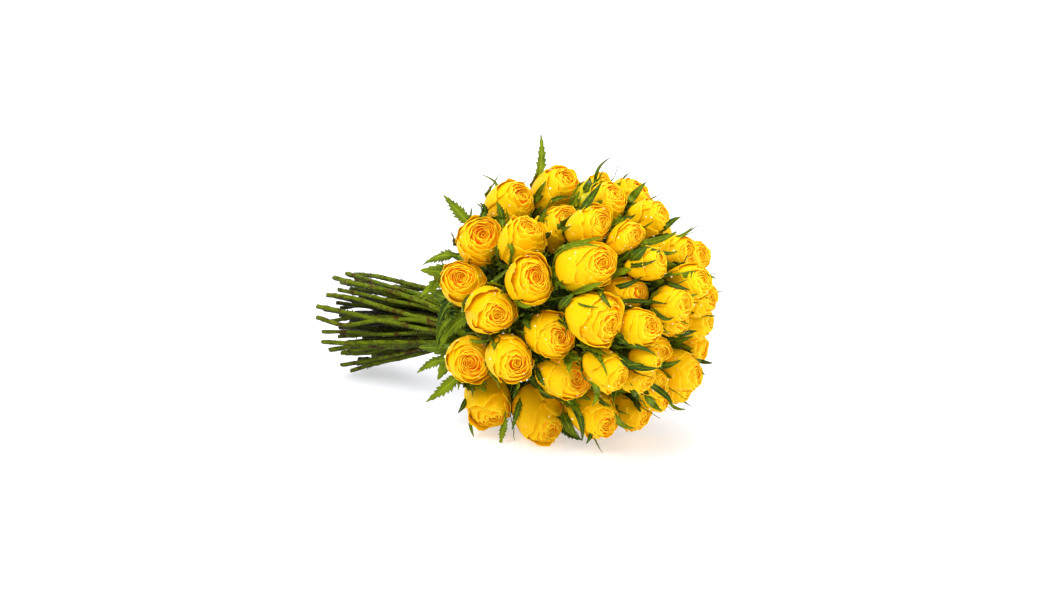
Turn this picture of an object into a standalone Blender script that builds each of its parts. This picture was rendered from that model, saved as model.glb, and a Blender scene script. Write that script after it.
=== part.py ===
"""A bunch of yellow roses, tied and laid on its side.

Metres, +Z up.  The stems point to -X and the blooms to +X.  The origin is on the
surface that the bunch lies on, under the middle of its box.  The bunch leans a
little: its cut ends are lower than its head, because the head is the fatter end.

The blooms that can be seen are placed by where the middle of each one stands in the
photograph, on a dome whose size is given below.  They are then settled against each
other like balls in a net, each along its own line of sight.
"""
import math

import bmesh
import bpy
import numpy as np
from mathutils import Matrix, Vector
from mathutils.bvhtree import BVHTree

# Driving sizes of the bunch
BINDING_TO_CUT = 0.202
BINDING_TO_HEART = 0.155
DOME_DEPTH = 0.152
DOME_RADIUS = 0.123
CUT_HEIGHT = 0.0605
BINDING_HEIGHT = 0.094
HEART_HEIGHT = 0.1305
CUT_SPREAD = 0.060
BINDING_RADIUS = 0.0250
CUT_RAGGEDNESS = 0.010
CUT_SLANT = 0.30
STEM_TWIST = math.radians(-38.0)
BOX_MIDDLE = np.array([0.0401, -0.0010, 0.0])

# Driving sizes of one rose
BLOOM_LENGTH = 0.056
BLOOM_RADIUS = 0.0215
LIP_RADIUS = 0.0185
PETAL_WINDING = 0.0026
CORNER_DROP = 0.0045
BLOOM_SIDES = 12
PETALS_ROUND = 3
PETAL_DEGREES = 112.0
GOLDEN_TURN = 2.39996
BLADE_THICKNESS = 0.0008
RESTING_SINK = 0.0006

# A bloom that leans further than this from the axis of the bunch shows its foot, and
# one that leans further still has sepals that bend down
EDGE_LEAN = 0.80
RIM_LEAN = 0.72

# Driving sizes of the stems and of the tie
STEM_RADIUS = 0.0030
STEM_SIDES = 5
STEM_SPACING = 0.0064
STEM_CLEARANCE = 0.0006
BEND_CLEARANCE = 0.0012
HIP_LENGTH = 0.010
HIP_SWELL = 1.6
BEND_SETBACK = 0.034
BEND_ALONG = 0.65
BEND_DRAW = 0.25
SEAT_GAP = 0.0003
SEAT_EASE = 1.15
HUB_LENGTH = 0.010
TIE_SETBACK = 0.0055
TIE_RADIUS = 0.0302
TIE_THICKNESS = 0.0022
TIE_HALF_WIDTH = 0.0035
ROUND_SIDES = 14

# Driving sizes of the sepals: heights above the foot, half the width at each, how far
# they stand off the petals, and the room that they need
SEPAL_HEIGHTS = np.array([0.009, 0.0165, 0.024, 0.032, 0.040, 0.047])
SEPAL_HALF_WIDTHS = np.array([0.0024, 0.0022, 0.0020, 0.0016, 0.0012, 0.0008])
SEPAL_ROOT_HALF_WIDTH = 0.0022
SEPAL_ROOT_DROP = 0.006
SEPAL_FACING = 0.30
SEPAL_SHORTEST = 5
SEPAL_STANDOFF = 0.0014
SEPAL_ROOM = 0.0009
CHORD_ROOM = 0.0006
SEPAL_TURNS = np.radians(np.arange(0.0, 360.0, 15.0))
SEPALS_APART = 0.2

# A sepal that bends down: how far below the foot, how far out, and how wide
TURNED_DOWN = ((0.0040, 0.0, 0.0046), (0.0055, 0.0085, 0.0036), (0.0140, 0.0145, 0.0010))
TURNED_DOWN_TURNS = np.radians((0.0, 150.0))
TURNED_DOWN_ROOM = 0.001

# How the photograph looks at the bunch: angles in degrees, lengths in pixels
VIEW_AZIMUTH = math.radians(43.0)
VIEW_ELEVATION = math.radians(12.0)
VIEW_DISTANCE = 1.2
FOCAL_PIXELS = 1217.0
PICTURE_MIDDLE = (525.0, 300.0)
HEART_PIXEL = (576.0, 306.0)

# One row for each bloom in sight: the pixel of its middle, its size against the
# driving sizes, and the pixels from its foot to its middle where both can be seen
SEEN_BLOOMS = (
    (482.0, 235.0, 0.98, (5, -7)), (461.6, 277.0, 0.96, (-6, -9)),
    (497.8, 313.5, 1.04, (14, 8)), (469.0, 364.0, 0.95, (2, 3)),
    (519.4, 364.0, 0.96, (22, 18)), (493.0, 417.0, 1.00, (11, 37)),
    (552.0, 432.0, 1.06, (32, 42)), (577.3, 381.5, 1.00, (28, 20)),
    (561.5, 337.3, 0.94, (26, 8)), (537.3, 275.2, 0.98, (12, -12)),
    (531.0, 228.0, 0.95, (17, -36)), (522.0, 194.0, 0.98, (32, -8)),
    (569.0, 178.0, 0.98, (27, -20)), (569.0, 216.3, 0.88, (16, -32)),
    (608.0, 225.0, 0.88, (28, -3)), (635.0, 235.0, 0.74, (26, -8)),
    (616.0, 194.0, 0.86, (26, -14)), (609.0, 182.0, 0.80, None),
    (664.0, 212.0, 0.84, (32, -16)), (603.6, 261.5, 1.00, (48, -8)),
    (615.6, 327.4, 1.04, (44, 22)), (648.0, 289.0, 0.90, (40, -4)),
    (659.0, 262.0, 0.76, None), (692.0, 254.0, 0.90, (48, -6)),
    (704.0, 254.0, 0.80, None), (703.0, 281.0, 0.78, None),
    (710.0, 299.0, 0.78, None), (711.0, 321.0, 0.84, None),
    (686.0, 300.0, 0.76, None), (686.0, 318.0, 0.82, (32, 8)),
    (648.0, 326.0, 0.82, (27, -3)), (665.0, 349.0, 0.82, (24, 16)),
    (659.0, 364.0, 0.58, (34, 8)), (706.0, 350.0, 0.86, None),
    (673.6, 384.0, 0.80, (26, 10)), (690.0, 376.0, 0.80, None),
    (690.0, 392.0, 0.78, None), (667.0, 404.0, 0.60, (24, 18)),
    (646.0, 417.0, 0.86, (30, 18)), (609.0, 424.0, 0.90, (33, 20)),
    (622.0, 379.5, 0.88, (33, 26)), (650.0, 380.0, 0.70, None),
)
CLOSED_BUDS = (32, 37)

# The blooms with a long sepal in sight: a few at the edge, and all to the right
SEPALLED = (1, 3, 5, 6, 11) + tuple(range(13, len(SEEN_BLOOMS)))

# The blooms on the far side and below: angle from the axis of the bunch, and angle
# round it from +Y upwards, in degrees
HIDDEN_BLOOMS = (
    (114, 357), (104, 291), (114, 54), (86, 333), (88, 24),
    (108, 328), (110, 24), (92, 357), (92, 312), (100, 42),
    (62, 2), (66, 36), (64, 70), (60, 330),
)
HIDDEN_SIZE = 0.92

# One row for each leaf that shows: the pixels of its tip and of its foot, how much
# nearer the viewer than the heart it starts from, and its width
LEAVES = (
    ((443.5, 195.0), (468.0, 223.0), -0.012, 0.014), ((423.0, 265.0), (456.0, 257.0), -0.016, 0.014),
    ((424.0, 293.0), (456.0, 279.0), -0.030, 0.018), ((417.0, 373.0), (449.0, 361.0), -0.026, 0.015),
    ((426.0, 402.0), (456.0, 377.0), -0.020, 0.020), ((438.0, 350.0), (466.0, 318.0), -0.050, 0.022),
    ((437.0, 322.0), (468.0, 300.0), -0.060, 0.018), ((541.0, 134.0), (535.5, 186.0), -0.016, 0.013),
    ((610.0, 158.0), (590.0, 204.0), -0.010, 0.013), ((646.0, 182.0), (628.0, 203.0), -0.020, 0.012),
    ((481.0, 174.5), (490.0, 202.0), -0.010, 0.004), ((501.0, 449.0), (497.0, 432.0), 0.030, 0.007),
    ((583.0, 440.0), (571.0, 404.0), 0.050, 0.008), ((716.0, 278.6), (678.0, 283.0), 0.020, 0.009),
    ((680.5, 218.0), (664.0, 230.0), -0.010, 0.008), ((712.0, 362.8), (697.0, 361.5), 0.000, 0.006),
)

# How a leaf lies: the depths that are tried for it, how far its tip stands behind its
# foot, its arch against its length, its stalk, and the room that it needs
LEAF_DEPTHS = sorted(np.arange(-0.060, 0.061, 0.004), key=abs)
LEAF_TIP_SETBACK = 0.008
LEAF_ARCH = 0.06
LEAF_ROOM = 0.0020
STALK_WIDTH = 0.0018
STALK_ROOM = 0.0015
STALK_TRIES = 400
TOOTHED_FROM = 0.010
TOOTH_DEPTH = 0.72
MIDRIB_DEPTH = 0.25

# The leaves of the far side: their angles round the axis from +Y upwards, in degrees,
# their length and width, and how far along and out from the binding they may start
COLLAR_ANGLES = (-70, -38, -6, 26, 58, 90)
COLLAR_LENGTH = 0.052
COLLAR_WIDTH = 0.019
COLLAR_ARCH = 0.10
COLLAR_ALONG = (0.030, 0.110)
COLLAR_OUT = (0.035, 0.070)
COLLAR_STALK = 0.030
COLLAR_TRIES = 60

# The width of a leaf at even steps from its foot to its tip, against its widest
TOOTHED_WIDTHS = np.array([0.30, 1.0, 0.95, 0.80, 0.50, 0.05])
PLAIN_WIDTHS = np.array([0.70, 1.0, 0.60, 0.12])

# The stations of the balls that stand for a bloom while it settles, and their radii
BALL_STATIONS = np.array([0.010, 0.023, 0.037, 0.049, 0.056])
BALL_RADII = np.array([0.0145, 0.0215, 0.0200, 0.0178, 0.0160])
BALL_SHRINK = 0.90

# How the blooms settle: the shares of an overlap by which two blooms move apart, pass
# ahead of each other and rise, and the shares of the way back to where they belong
SETTLING_STEPS = 300
APART_SHARE = 0.5
AHEAD_SHARE = 0.3
RISING_SHARE = 0.8
STEP_SHARE = 0.5
SIGHT_PULL = 0.10
HOME_PULL = 0.02
DOME_LEVELS = (0.85, 1.04)

# How a bloom leans: how much the photograph counts against the fan, how steep a reading
# may be, and how far down a bloom may point
READING_WEIGHT = 1.2
STEEPEST_READING = 0.96
LOWEST_LEAN = -0.45

# How blooms press: how near a neighbour has its wall, and the share that stays still
PRESSING_ROUNDS = 5
PRESSING_REACH = 0.005
STILL_SHARE = 0.3

# How the stems are laid: how full the binding is, and the steps that part them
BINDING_FILL = 0.80
PACKING_STEPS = 400
PACKING_SHARE = 0.4
SPREADING_STEPS = 30
SPREADING_SHARE = 0.15
SPREADING_PLACES = np.linspace(0.15, 0.95, 8)

# How room is looked for: how far off, how often, and how far past what is needed
SEARCH_REACH = 0.030
SEARCH_STEP = 1e-6
SEARCH_WAY = (0.31, 0.17, 0.935)
CLEARING_ROUNDS = 8
CLEARING_SURPLUS = 0.0002
ROUTE_PLACES = np.linspace(0.0, 1.0, 13)
ROUTE_ROUNDS = 30
ROUTE_SURPLUS = 0.0004
ROUTE_OVERSHOOT = 1.5
STRAIGHT_ENOUGH = 0.06

BLOOM_YELLOW = (0.95, 0.62, 0.02, 1.0)
STEM_GREEN = (0.10, 0.17, 0.03, 1.0)
TIE_TAN = (0.55, 0.42, 0.25, 1.0)


def unit(v):
    """Rows of v, each brought to length 1."""
    v = np.asarray(v, dtype=float)
    return v / np.linalg.norm(v, axis=-1, keepdims=True)


BINDING = np.array([0.0, 0.0, BINDING_HEIGHT])
HEART = np.array([math.sqrt(BINDING_TO_HEART ** 2 - (HEART_HEIGHT - BINDING_HEIGHT) ** 2),
                  0.0, HEART_HEIGHT])
CUT_MIDDLE = np.array([-math.sqrt(BINDING_TO_CUT ** 2 - (BINDING_HEIGHT - CUT_HEIGHT) ** 2),
                       0.0, CUT_HEIGHT])
AXIS = unit(HEART - BINDING)
SIDE = np.array([0.0, 1.0, 0.0])
OVER = np.cross(AXIS, SIDE)
DOME_FRAME = np.stack([AXIS, SIDE, OVER])
DOME_SIZES = np.array([DOME_DEPTH, DOME_RADIUS, DOME_RADIUS])
FAN_FOCUS = BINDING + 0.008 * AXIS

TO_VIEWER = np.array([math.sin(VIEW_AZIMUTH) * math.cos(VIEW_ELEVATION),
                      -math.cos(VIEW_AZIMUTH) * math.cos(VIEW_ELEVATION),
                      math.sin(VIEW_ELEVATION)])
VIEW_RIGHT = np.array([math.cos(VIEW_AZIMUTH), math.sin(VIEW_AZIMUTH), 0.0])
VIEW_UP = np.cross(TO_VIEWER, VIEW_RIGHT)


def sight(pixel):
    """The direction of the line of sight through a pixel, not yet of length 1."""
    across = (pixel[0] - PICTURE_MIDDLE[0]) / FOCAL_PIXELS
    down = (pixel[1] - PICTURE_MIDDLE[1]) / FOCAL_PIXELS
    return across * VIEW_RIGHT - down * VIEW_UP - TO_VIEWER


VIEWPOINT = HEART - VIEW_DISTANCE * sight(HEART_PIXEL)


def seen_at(pixel, depth):
    """The point in sight at a pixel, `depth` metres nearer the viewer than the heart."""
    return VIEWPOINT + (VIEW_DISTANCE - depth) * sight(pixel)


def on_dome(pixel):
    """Where the line of sight meets the dome, or the dome's rim where it passes by."""
    ray = unit(sight(pixel))
    start = DOME_FRAME @ (VIEWPOINT - HEART) / DOME_SIZES
    step = DOME_FRAME @ ray / DOME_SIZES
    a, b, c = step @ step, start @ step, start @ start - 1.0
    inside = b * b - a * c
    if inside > 0.0:
        return VIEWPOINT + (-b - math.sqrt(inside)) / a * ray
    nearest = unit(start - b / a * step)
    return HEART + DOME_FRAME.T @ (nearest * DOME_SIZES)


def dome_point(from_axis, round_axis):
    """The point of the dome at two angles in degrees."""
    t, r = math.radians(from_axis), math.radians(round_axis)
    turned = np.array([math.cos(t), math.sin(t) * math.cos(r), math.sin(t) * math.sin(r)])
    return HEART + DOME_FRAME.T @ (turned * DOME_SIZES)


def leans(middles, sizes):
    """The way each bloom points: out from the fan's focus, and as the photograph shows."""
    fan = unit(middles - FAN_FOCUS)
    fan[:, 2] = np.maximum(fan[:, 2], LOWEST_LEAN)
    fan = unit(fan)
    for i, (x, y, _, lean) in enumerate(SEEN_BLOOMS):
        if lean is None:
            continue
        length = BLOOM_LENGTH * sizes[i] * FOCAL_PIXELS
        length /= np.linalg.norm(middles[i] - VIEWPOINT)
        across, rise = lean[0] / length, -lean[1] / length
        steep = max(1.0, math.hypot(across, rise) / STEEPEST_READING)
        across, rise = across / steep, rise / steep
        near = -unit(sight((x, y)))
        right = unit(VIEW_RIGHT - near * (VIEW_RIGHT @ near))
        towards = math.sqrt(1.0 - across ** 2 - rise ** 2)
        read = across * right + rise * np.cross(near, right) + towards * near
        fan[i] = unit(fan[i] + READING_WEIGHT * read)
    return fan


def ball_centres(middles, ways, sizes):
    """The centres of the five balls on each bloom's axis."""
    back = (BLOOM_LENGTH - BALL_STATIONS)[None, :] * sizes[:, None]
    return middles[:, None, :] - ways[:, None, :] * back[:, :, None]


def closest_balls(middles, ways, sizes, shrink):
    """For each pair of blooms, their closest balls: overlap, direction and the two balls."""
    count, balls = len(sizes), len(BALL_RADII)
    centres = ball_centres(middles, ways, sizes).reshape(-1, 3)
    radii = (shrink * BALL_RADII[None, :] * sizes[:, None]).reshape(-1)
    apart = centres[:, None, :] - centres[None, :, :]
    distance = np.linalg.norm(apart, axis=2) + 1e-9
    overlap = radii[:, None] + radii[None, :] - distance
    blocks = overlap.reshape(count, balls, count, balls).transpose(0, 2, 1, 3)
    blocks = blocks.reshape(count, count, balls * balls)
    best = blocks.argmax(axis=2)
    first = np.arange(count)[:, None] * balls + best // balls
    second = np.arange(count)[None, :] * balls + best % balls
    deepest = overlap[first, second]
    np.fill_diagonal(deepest, -1.0)
    return deepest, apart[first, second] / distance[first, second, None], first, second


def settled_blooms():
    """Lets the blooms push each other apart.

    Each step moves two blooms that overlap half of the overlap apart, one of them a
    little further out than the other.  A bloom in sight is then drawn back to its line
    of sight, one out of sight to its own place, and all of them to the dome and the
    surface below.
    """
    sizes = np.array([row[2] for row in SEEN_BLOOMS] + [HIDDEN_SIZE] * len(HIDDEN_BLOOMS))
    rays = unit([sight(row[:2]) for row in SEEN_BLOOMS])
    seen = len(SEEN_BLOOMS)
    middles = np.array([on_dome(row[:2]) for row in SEEN_BLOOMS]
                       + [dome_point(*row) for row in HIDDEN_BLOOMS])
    home = middles.copy()
    for _ in range(SETTLING_STEPS):
        ways = leans(middles, sizes)
        overlap, apart, _, _ = closest_balls(middles, ways, sizes, BALL_SHRINK)
        overlap = np.maximum(overlap, 0.0)
        move = (apart * overlap[:, :, None] * APART_SHARE).sum(axis=1)
        both = unit(ways[:, None, :] + ways[None, :, :])
        ahead = np.sign(((middles[:, None] - middles[None]) * both).sum(axis=2))
        move += (both * (ahead * overlap * AHEAD_SHARE)[:, :, None]).sum(axis=1)
        balls = ball_centres(middles, ways, sizes)[:, :, 2]
        sunk = (BALL_SHRINK * BALL_RADII * sizes[:, None] - balls).max(axis=1)
        move[:, 2] += np.maximum(sunk, 0.0) * RISING_SHARE
        middles = middles + STEP_SHARE * move
        along = ((middles[:seen] - VIEWPOINT) * rays).sum(axis=1, keepdims=True)
        middles[:seen] += SIGHT_PULL * (VIEWPOINT + along * rays - middles[:seen])
        middles[seen:] += HOME_PULL * (home[seen:] - middles[seen:])
        level = np.linalg.norm((middles - HEART) @ DOME_FRAME.T / DOME_SIZES, axis=1)
        wanted = np.clip(level, *DOME_LEVELS) / level
        middles = HEART + (middles - HEART) * wanted[:, None]
    return middles, leans(middles, sizes), sizes


def walls_between(middles, ways, sizes):
    """The flat wall between each bloom and each neighbour that it could press on.

    A wall is a point on the bloom's axis, the direction to the neighbour, and how far
    the bloom may reach that way.  The lowest wall is the surface below.
    """
    overlap, apart, first, second = closest_balls(middles, ways, sizes, 1.0)
    centres = ball_centres(middles, ways, sizes).reshape(-1, 3)
    radii = (BALL_RADII[None, :] * sizes[:, None]).reshape(-1)
    walls = []
    for i in range(len(sizes)):
        own = []
        for j in np.nonzero(overlap[i] > -PRESSING_REACH)[0]:
            a, b = first[i, j], second[i, j]
            distance = np.linalg.norm(centres[a] - centres[b])
            share = radii[a] / (radii[a] + radii[b])
            own.append((centres[a], -apart[i, j], distance * share - 0.5 * SEAT_GAP))
        own.append((middles[i], np.array([0.0, 0.0, -1.0]), middles[i, 2] + RESTING_SINK))
        walls.append(own)
    return walls


def pressed(points, walls):
    """Presses points behind a bloom's walls.

    What reaches past a wall is squeezed towards the axis: the outer 7/10 of the way to
    the wall shrinks in proportion, so layers keep their order and never cross.
    """
    points = points.copy()
    for _ in range(PRESSING_ROUNDS):
        for origin, way, limit in walls:
            reach = (points - origin) @ way
            furthest = reach.max()
            if furthest <= limit:
                continue
            still = STILL_SHARE * limit
            squeeze = (limit - still) / (furthest - still)
            short = np.where(reach > still, (reach - still) * (squeeze - 1.0), 0.0)
            points += short[:, None] * way
    return points


def material(name, colour, roughness):
    made = bpy.data.materials.new(name)
    made.use_nodes = True
    shader = made.node_tree.nodes["Principled BSDF"]
    shader.inputs["Base Color"].default_value = colour
    shader.inputs["Roughness"].default_value = roughness
    shader.inputs["Metallic"].default_value = 0.0
    made.diffuse_color = colour
    return made


def new_object(name, mesh):
    made = bpy.data.objects.new(name, mesh)
    bpy.context.scene.collection.objects.link(made)
    return made


def finished_mesh(obj):
    """The object's mesh with its modifiers, as triangles with doubles merged."""
    bpy.context.view_layer.update()
    graph = bpy.context.evaluated_depsgraph_get()
    mesh = bpy.data.meshes.new_from_object(obj.evaluated_get(graph))
    shape = bmesh.new()
    shape.from_mesh(mesh)
    bmesh.ops.remove_doubles(shape, verts=shape.verts, dist=1e-6)
    bmesh.ops.triangulate(shape, faces=shape.faces)
    shape.to_mesh(mesh)
    shape.free()
    return mesh


def discard(obj):
    bpy.data.objects.remove(obj, do_unlink=True)


def sheet(name, across, along, surface, thickness):
    """An open grid bent by surface(u, v), with Solidify for its thickness.

    u and v run from 0 to 1 across and along the blade.
    """
    shape = bmesh.new()
    bmesh.ops.create_grid(shape, x_segments=across, y_segments=along, size=0.5)
    shape.verts.ensure_lookup_table()
    grid = np.array([v.co[:2] for v in shape.verts]) + 0.5
    for vertex, place in zip(shape.verts, surface(grid[:, 0], grid[:, 1])):
        vertex.co = Vector(place)
    mesh = bpy.data.meshes.new(name)
    shape.to_mesh(mesh)
    shape.free()
    made = new_object(name, mesh)
    solid = made.modifiers.new("thickness", "SOLIDIFY")
    solid.thickness = thickness
    solid.offset = 0.0
    return made


def fused(name, base, pieces, solver):
    """Joins pieces to the base by one Boolean union, and keeps its largest body."""
    solids = []
    for piece in pieces:
        solids.append(new_object(piece.name + "_solid", finished_mesh(piece)))
        discard(piece)
    group = bpy.data.collections.new(name + "_pieces")
    bpy.context.scene.collection.children.link(group)
    for solid in solids:
        group.objects.link(solid)
    union = base.modifiers.new("union", "BOOLEAN")
    union.operation = "UNION"
    union.operand_type = "COLLECTION"
    union.collection = group
    union.solver = solver
    flat = base.modifiers.new("flat_faces", "DECIMATE")
    flat.decimate_type = "DISSOLVE"
    flat.angle_limit = math.radians(0.3)
    mesh = finished_mesh(base)
    for solid in solids:
        discard(solid)
    discard(base)
    bpy.data.collections.remove(group)
    return largest_body(mesh)


def largest_body(mesh):
    """Removes every loose scrap and keeps the body with the most vertices."""
    shape = bmesh.new()
    shape.from_mesh(mesh)
    unseen = set(shape.verts)
    bodies = []
    while unseen:
        body, edge = set(), [unseen.pop()]
        while edge:
            vertex = edge.pop()
            body.add(vertex)
            for link in vertex.link_edges:
                other = link.other_vert(vertex)
                if other in unseen:
                    unseen.remove(other)
                    edge.append(other)
        bodies.append(body)
    keep = max(bodies, key=len)
    bmesh.ops.delete(shape, geom=[v for v in shape.verts if v not in keep], context="VERTS")
    shape.to_mesh(mesh)
    shape.free()
    return mesh


def bloom_profile(kind):
    """The turned profile of a bloom, from its foot round the lips of its petals.

    Each row is radius, height, how far the petals wind out there, and how far the
    corners of the petals drop.  An inner bloom shows nothing of its rounded foot.
    """
    lip, mouth = (0.0095, 0.0060) if kind == "bud" else (LIP_RADIUS, LIP_RADIUS - 0.0012)
    rows = [(0.0, 0.0, 0.0, 0.0), (0.0045, 0.0, 0.0, 0.0), (0.0150, 0.0090, 0.5, 0.0),
            (BLOOM_RADIUS - 0.0008, 0.0240, 1.0, 0.0), (lip, BLOOM_LENGTH, 0.9, 1.0),
            (mouth, BLOOM_LENGTH - 0.0004, 0.9, 1.0)]
    if kind in ("inner", "plain inner"):
        del rows[2]
    if kind in ("open", "inner"):
        rows += [(0.0128, 0.0400, 0.7, 0.4), (0.0108, 0.0535, 0.6, 0.5),
                 (0.0068, 0.0420, 0.4, 0.2), (0.0032, 0.0510, 0.2, 0.2),
                 (0.0, 0.0500, 0.0, 0.0)]
    elif kind in ("plain", "plain inner"):
        rows += [(0.0100, 0.0420, 0.5, 0.3), (0.0, 0.0510, 0.0, 0.0)]
    else:
        rows += [(0.0030, 0.0500, 0.4, 0.2), (0.0, 0.0510, 0.0, 0.0)]
    return rows


def bloom_pattern(kind):
    """The points and triangles of one bloom at full size, foot at the origin.

    A turned body whose petals are raised by a formula: three petals in each row, four
    sides to a petal.  A petal winds outwards across its width, so its
    last side stands over the next petal's first as a step, and its corners drop below
    the middle of its lip.
    """
    rows = np.array(bloom_profile(kind))
    mesh = bpy.data.meshes.new("profile")
    mesh.from_pydata([(r, 0.0, z) for r, z in rows[::-1, :2]],
                     [(i, i + 1) for i in range(len(rows) - 1)], [])
    turned = new_object("turned", mesh)
    screw = turned.modifiers.new("turn", "SCREW")
    screw.steps = BLOOM_SIDES
    screw.render_steps = BLOOM_SIDES
    screw.use_merge_vertices = True
    screw.merge_threshold = 1e-6
    body = finished_mesh(turned)
    discard(turned)
    points = np.array([v.co for v in body.vertices])
    radius = np.hypot(points[:, 0], points[:, 1])
    turn = np.arctan2(points[:, 1], points[:, 0]) / (2.0 * math.pi)
    side = np.rint(BLOOM_SIDES * turn).astype(int) % BLOOM_SIDES
    to_a_petal = BLOOM_SIDES // PETALS_ROUND
    place = (side % to_a_petal) / (to_a_petal - 1.0)
    angle = np.radians(360.0 / PETALS_ROUND * (side // to_a_petal) + PETAL_DEGREES * place)
    miss = np.abs(radius[:, None] - rows[:, 0]) + np.abs(points[:, 2:3] - rows[:, 1])
    wind, drop = rows[miss.argmin(axis=1), 2:].T
    radius = radius + PETAL_WINDING * (place - 0.5) * wind * (radius > 0.0)
    height = points[:, 2] - CORNER_DROP * drop * (2.0 * place - 1.0) ** 2
    shaped = np.stack([radius * np.cos(angle), radius * np.sin(angle), height], axis=1)
    return shaped, [tuple(p.vertices) for p in body.polygons]


def frame_round(way, roll):
    """Two directions square to `way`, turned by roll."""
    flat = unit(np.cross(way, (0.0, 0.0, 1.0) if abs(way[2]) < 0.9 else (1.0, 0.0, 0.0)))
    other = np.cross(way, flat)
    return (math.cos(roll) * flat + math.sin(roll) * other,
            math.cos(roll) * other - math.sin(roll) * flat)


def make_blooms(middles, ways, sizes):
    """Every bloom in its place, pressed by its neighbours, and a search tree for each."""
    kinds = ("open", "inner", "bud", "plain", "plain inner")
    patterns = {kind: bloom_pattern(kind) for kind in kinds}
    walls = walls_between(middles, ways, sizes)
    yellow = material("petal_yellow", BLOOM_YELLOW, 0.55)
    objects, trees = [], []
    for i, (middle, way, size) in enumerate(zip(middles, ways, sizes)):
        at_edge = way @ AXIS < EDGE_LEAN
        if i in CLOSED_BUDS:
            kind = "bud"
        elif i < len(SEEN_BLOOMS):
            kind = "open" if at_edge else "inner"
        else:
            kind = "plain" if at_edge else "plain inner"
        points, faces = patterns[kind]
        right, over = frame_round(way, i * GOLDEN_TURN)
        placed = points @ np.stack([right, over, way]) * size
        placed = pressed(placed + middle - way * BLOOM_LENGTH * size, walls[i])
        mesh = bpy.data.meshes.new("bloom_%02d" % (i + 1))
        mesh.from_pydata([tuple(p) for p in placed - BOX_MIDDLE], [], faces)
        mesh.materials.append(yellow)
        objects.append(new_object(mesh.name, mesh))
        trees.append(BVHTree.FromPolygons([tuple(p) for p in placed], faces))
    return objects, trees


def is_inside(tree, point):
    """Whether a line from the point leaves the solid an odd number of times."""
    way = Vector(SEARCH_WAY).normalized()
    start, crossings = Vector(point), 0
    place = tree.ray_cast(start, way)[0]
    while place is not None:
        crossings += 1
        place = tree.ray_cast(place + way * SEARCH_STEP, way)[0]
    return crossings % 2 == 1


def room(point, trees, skip=None):
    """How far a point is from the nearest bloom or the surface, and the way out.

    The distance is negative inside a bloom.
    """
    best, way = point[2], np.array([0.0, 0.0, 1.0])
    for i, tree in enumerate(trees):
        if i == skip:
            continue
        place, normal, _, distance = tree.find_nearest(Vector(point), SEARCH_REACH)
        if place is None:
            continue
        out = point - np.array(place)
        inside = out @ np.array(normal) < 0.0 and is_inside(tree, point)
        signed = -distance if inside else distance
        if signed < best:
            best = signed
            way = np.array(normal) if inside or distance < SEARCH_STEP else out / distance
    return best, way


def moved_clear(point, trees, needed, skip=None):
    """Moves a point out of the blooms' way, a few times over."""
    for _ in range(CLEARING_ROUNDS):
        free, way = room(point, trees, skip)
        if free >= needed:
            break
        point = point + (needed - free + CLEARING_SURPLUS) * way
    return point


def tightest(start, end, trees, skip):
    """Where between two points there is least room: how much, the way out, and where."""
    found = [room(start + share * (end - start), trees, skip) for share in ROUTE_PLACES]
    worst = int(np.argmin([free for free, _ in found]))
    return found[worst][0], found[worst][1], ROUTE_PLACES[worst]


def cleared_route(route, trees, own):
    """Bends a stem round every bloom in its way, then drops the bends it doesn't need.

    Its first two points and its last stay where they are.
    """
    route = list(route)
    needed = STEM_RADIUS + STEM_CLEARANCE
    for _ in range(ROUTE_ROUNDS):
        touched = False
        for k in range(1, 4):
            free, way, share = tightest(route[k], route[k + 1], trees, own)
            if free >= needed:
                continue
            touched = True
            push = (needed - free + ROUTE_SURPLUS) * ROUTE_OVERSHOOT * way
            if k > 1:
                route[k] = route[k] + push * (1.0 - share)
            route[k + 1] = route[k + 1] + push * share
        if not touched:
            break
    for k in (3, 2):
        aside = 1.0 - unit(route[k] - route[k - 1]) @ unit(route[k + 1] - route[k])
        free = tightest(route[k - 1], route[k + 1], trees, own)[0]
        if aside < STRAIGHT_ENOUGH and free >= needed:
            del route[k]
    return route


def packed_disc(count, wanted):
    """Points of a unit disc, near the wanted ones and evenly apart."""
    spots = wanted.copy()
    apart = 2.0 * math.sqrt(BINDING_FILL / count)
    for _ in range(PACKING_STEPS):
        gap = spots[:, None] - spots[None]
        distance = np.linalg.norm(gap, axis=2) + np.eye(count)
        push = np.maximum(apart - distance, 0.0) * (1.0 - np.eye(count))
        away = (gap / distance[:, :, None] * push[:, :, None]).sum(axis=1)
        spots = spots + PACKING_SHARE * away
        far = np.linalg.norm(spots, axis=1)
        spots *= np.minimum(1.0, 1.0 / far)[:, None]
    return spots


def spread_stems(routes):
    """Moves the bends of the stems apart where two stems would cross."""
    shares = SPREADING_PLACES
    for _ in range(SPREADING_STEPS):
        starts, ends = routes[:, 1:4], routes[:, 2:5]
        samples = starts[:, :, None] + shares[:, None] * (ends - starts)[:, :, None]
        flat = samples.reshape(-1, 3)
        gap = flat[:, None] - flat[None]
        distance = np.linalg.norm(gap, axis=2)
        owner = np.repeat(np.arange(len(routes)), samples.shape[1] * samples.shape[2])
        distance[owner[:, None] == owner[None]] = 1.0
        short = np.maximum(STEM_SPACING - distance, 0.0)
        push = (gap / distance[:, :, None] * short[:, :, None]).sum(axis=1)
        push = SPREADING_SHARE * push.reshape(samples.shape)
        routes[:, 2] += (push[:, 0] * shares[:, None]).sum(axis=1)
        routes[:, 2] += (push[:, 1] * (1.0 - shares[:, None])).sum(axis=1)
        routes[:, 3] += (push[:, 1] * shares[:, None]).sum(axis=1)
        routes[:, 3] += (push[:, 2] * (1.0 - shares[:, None])).sum(axis=1)
    return routes


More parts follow.
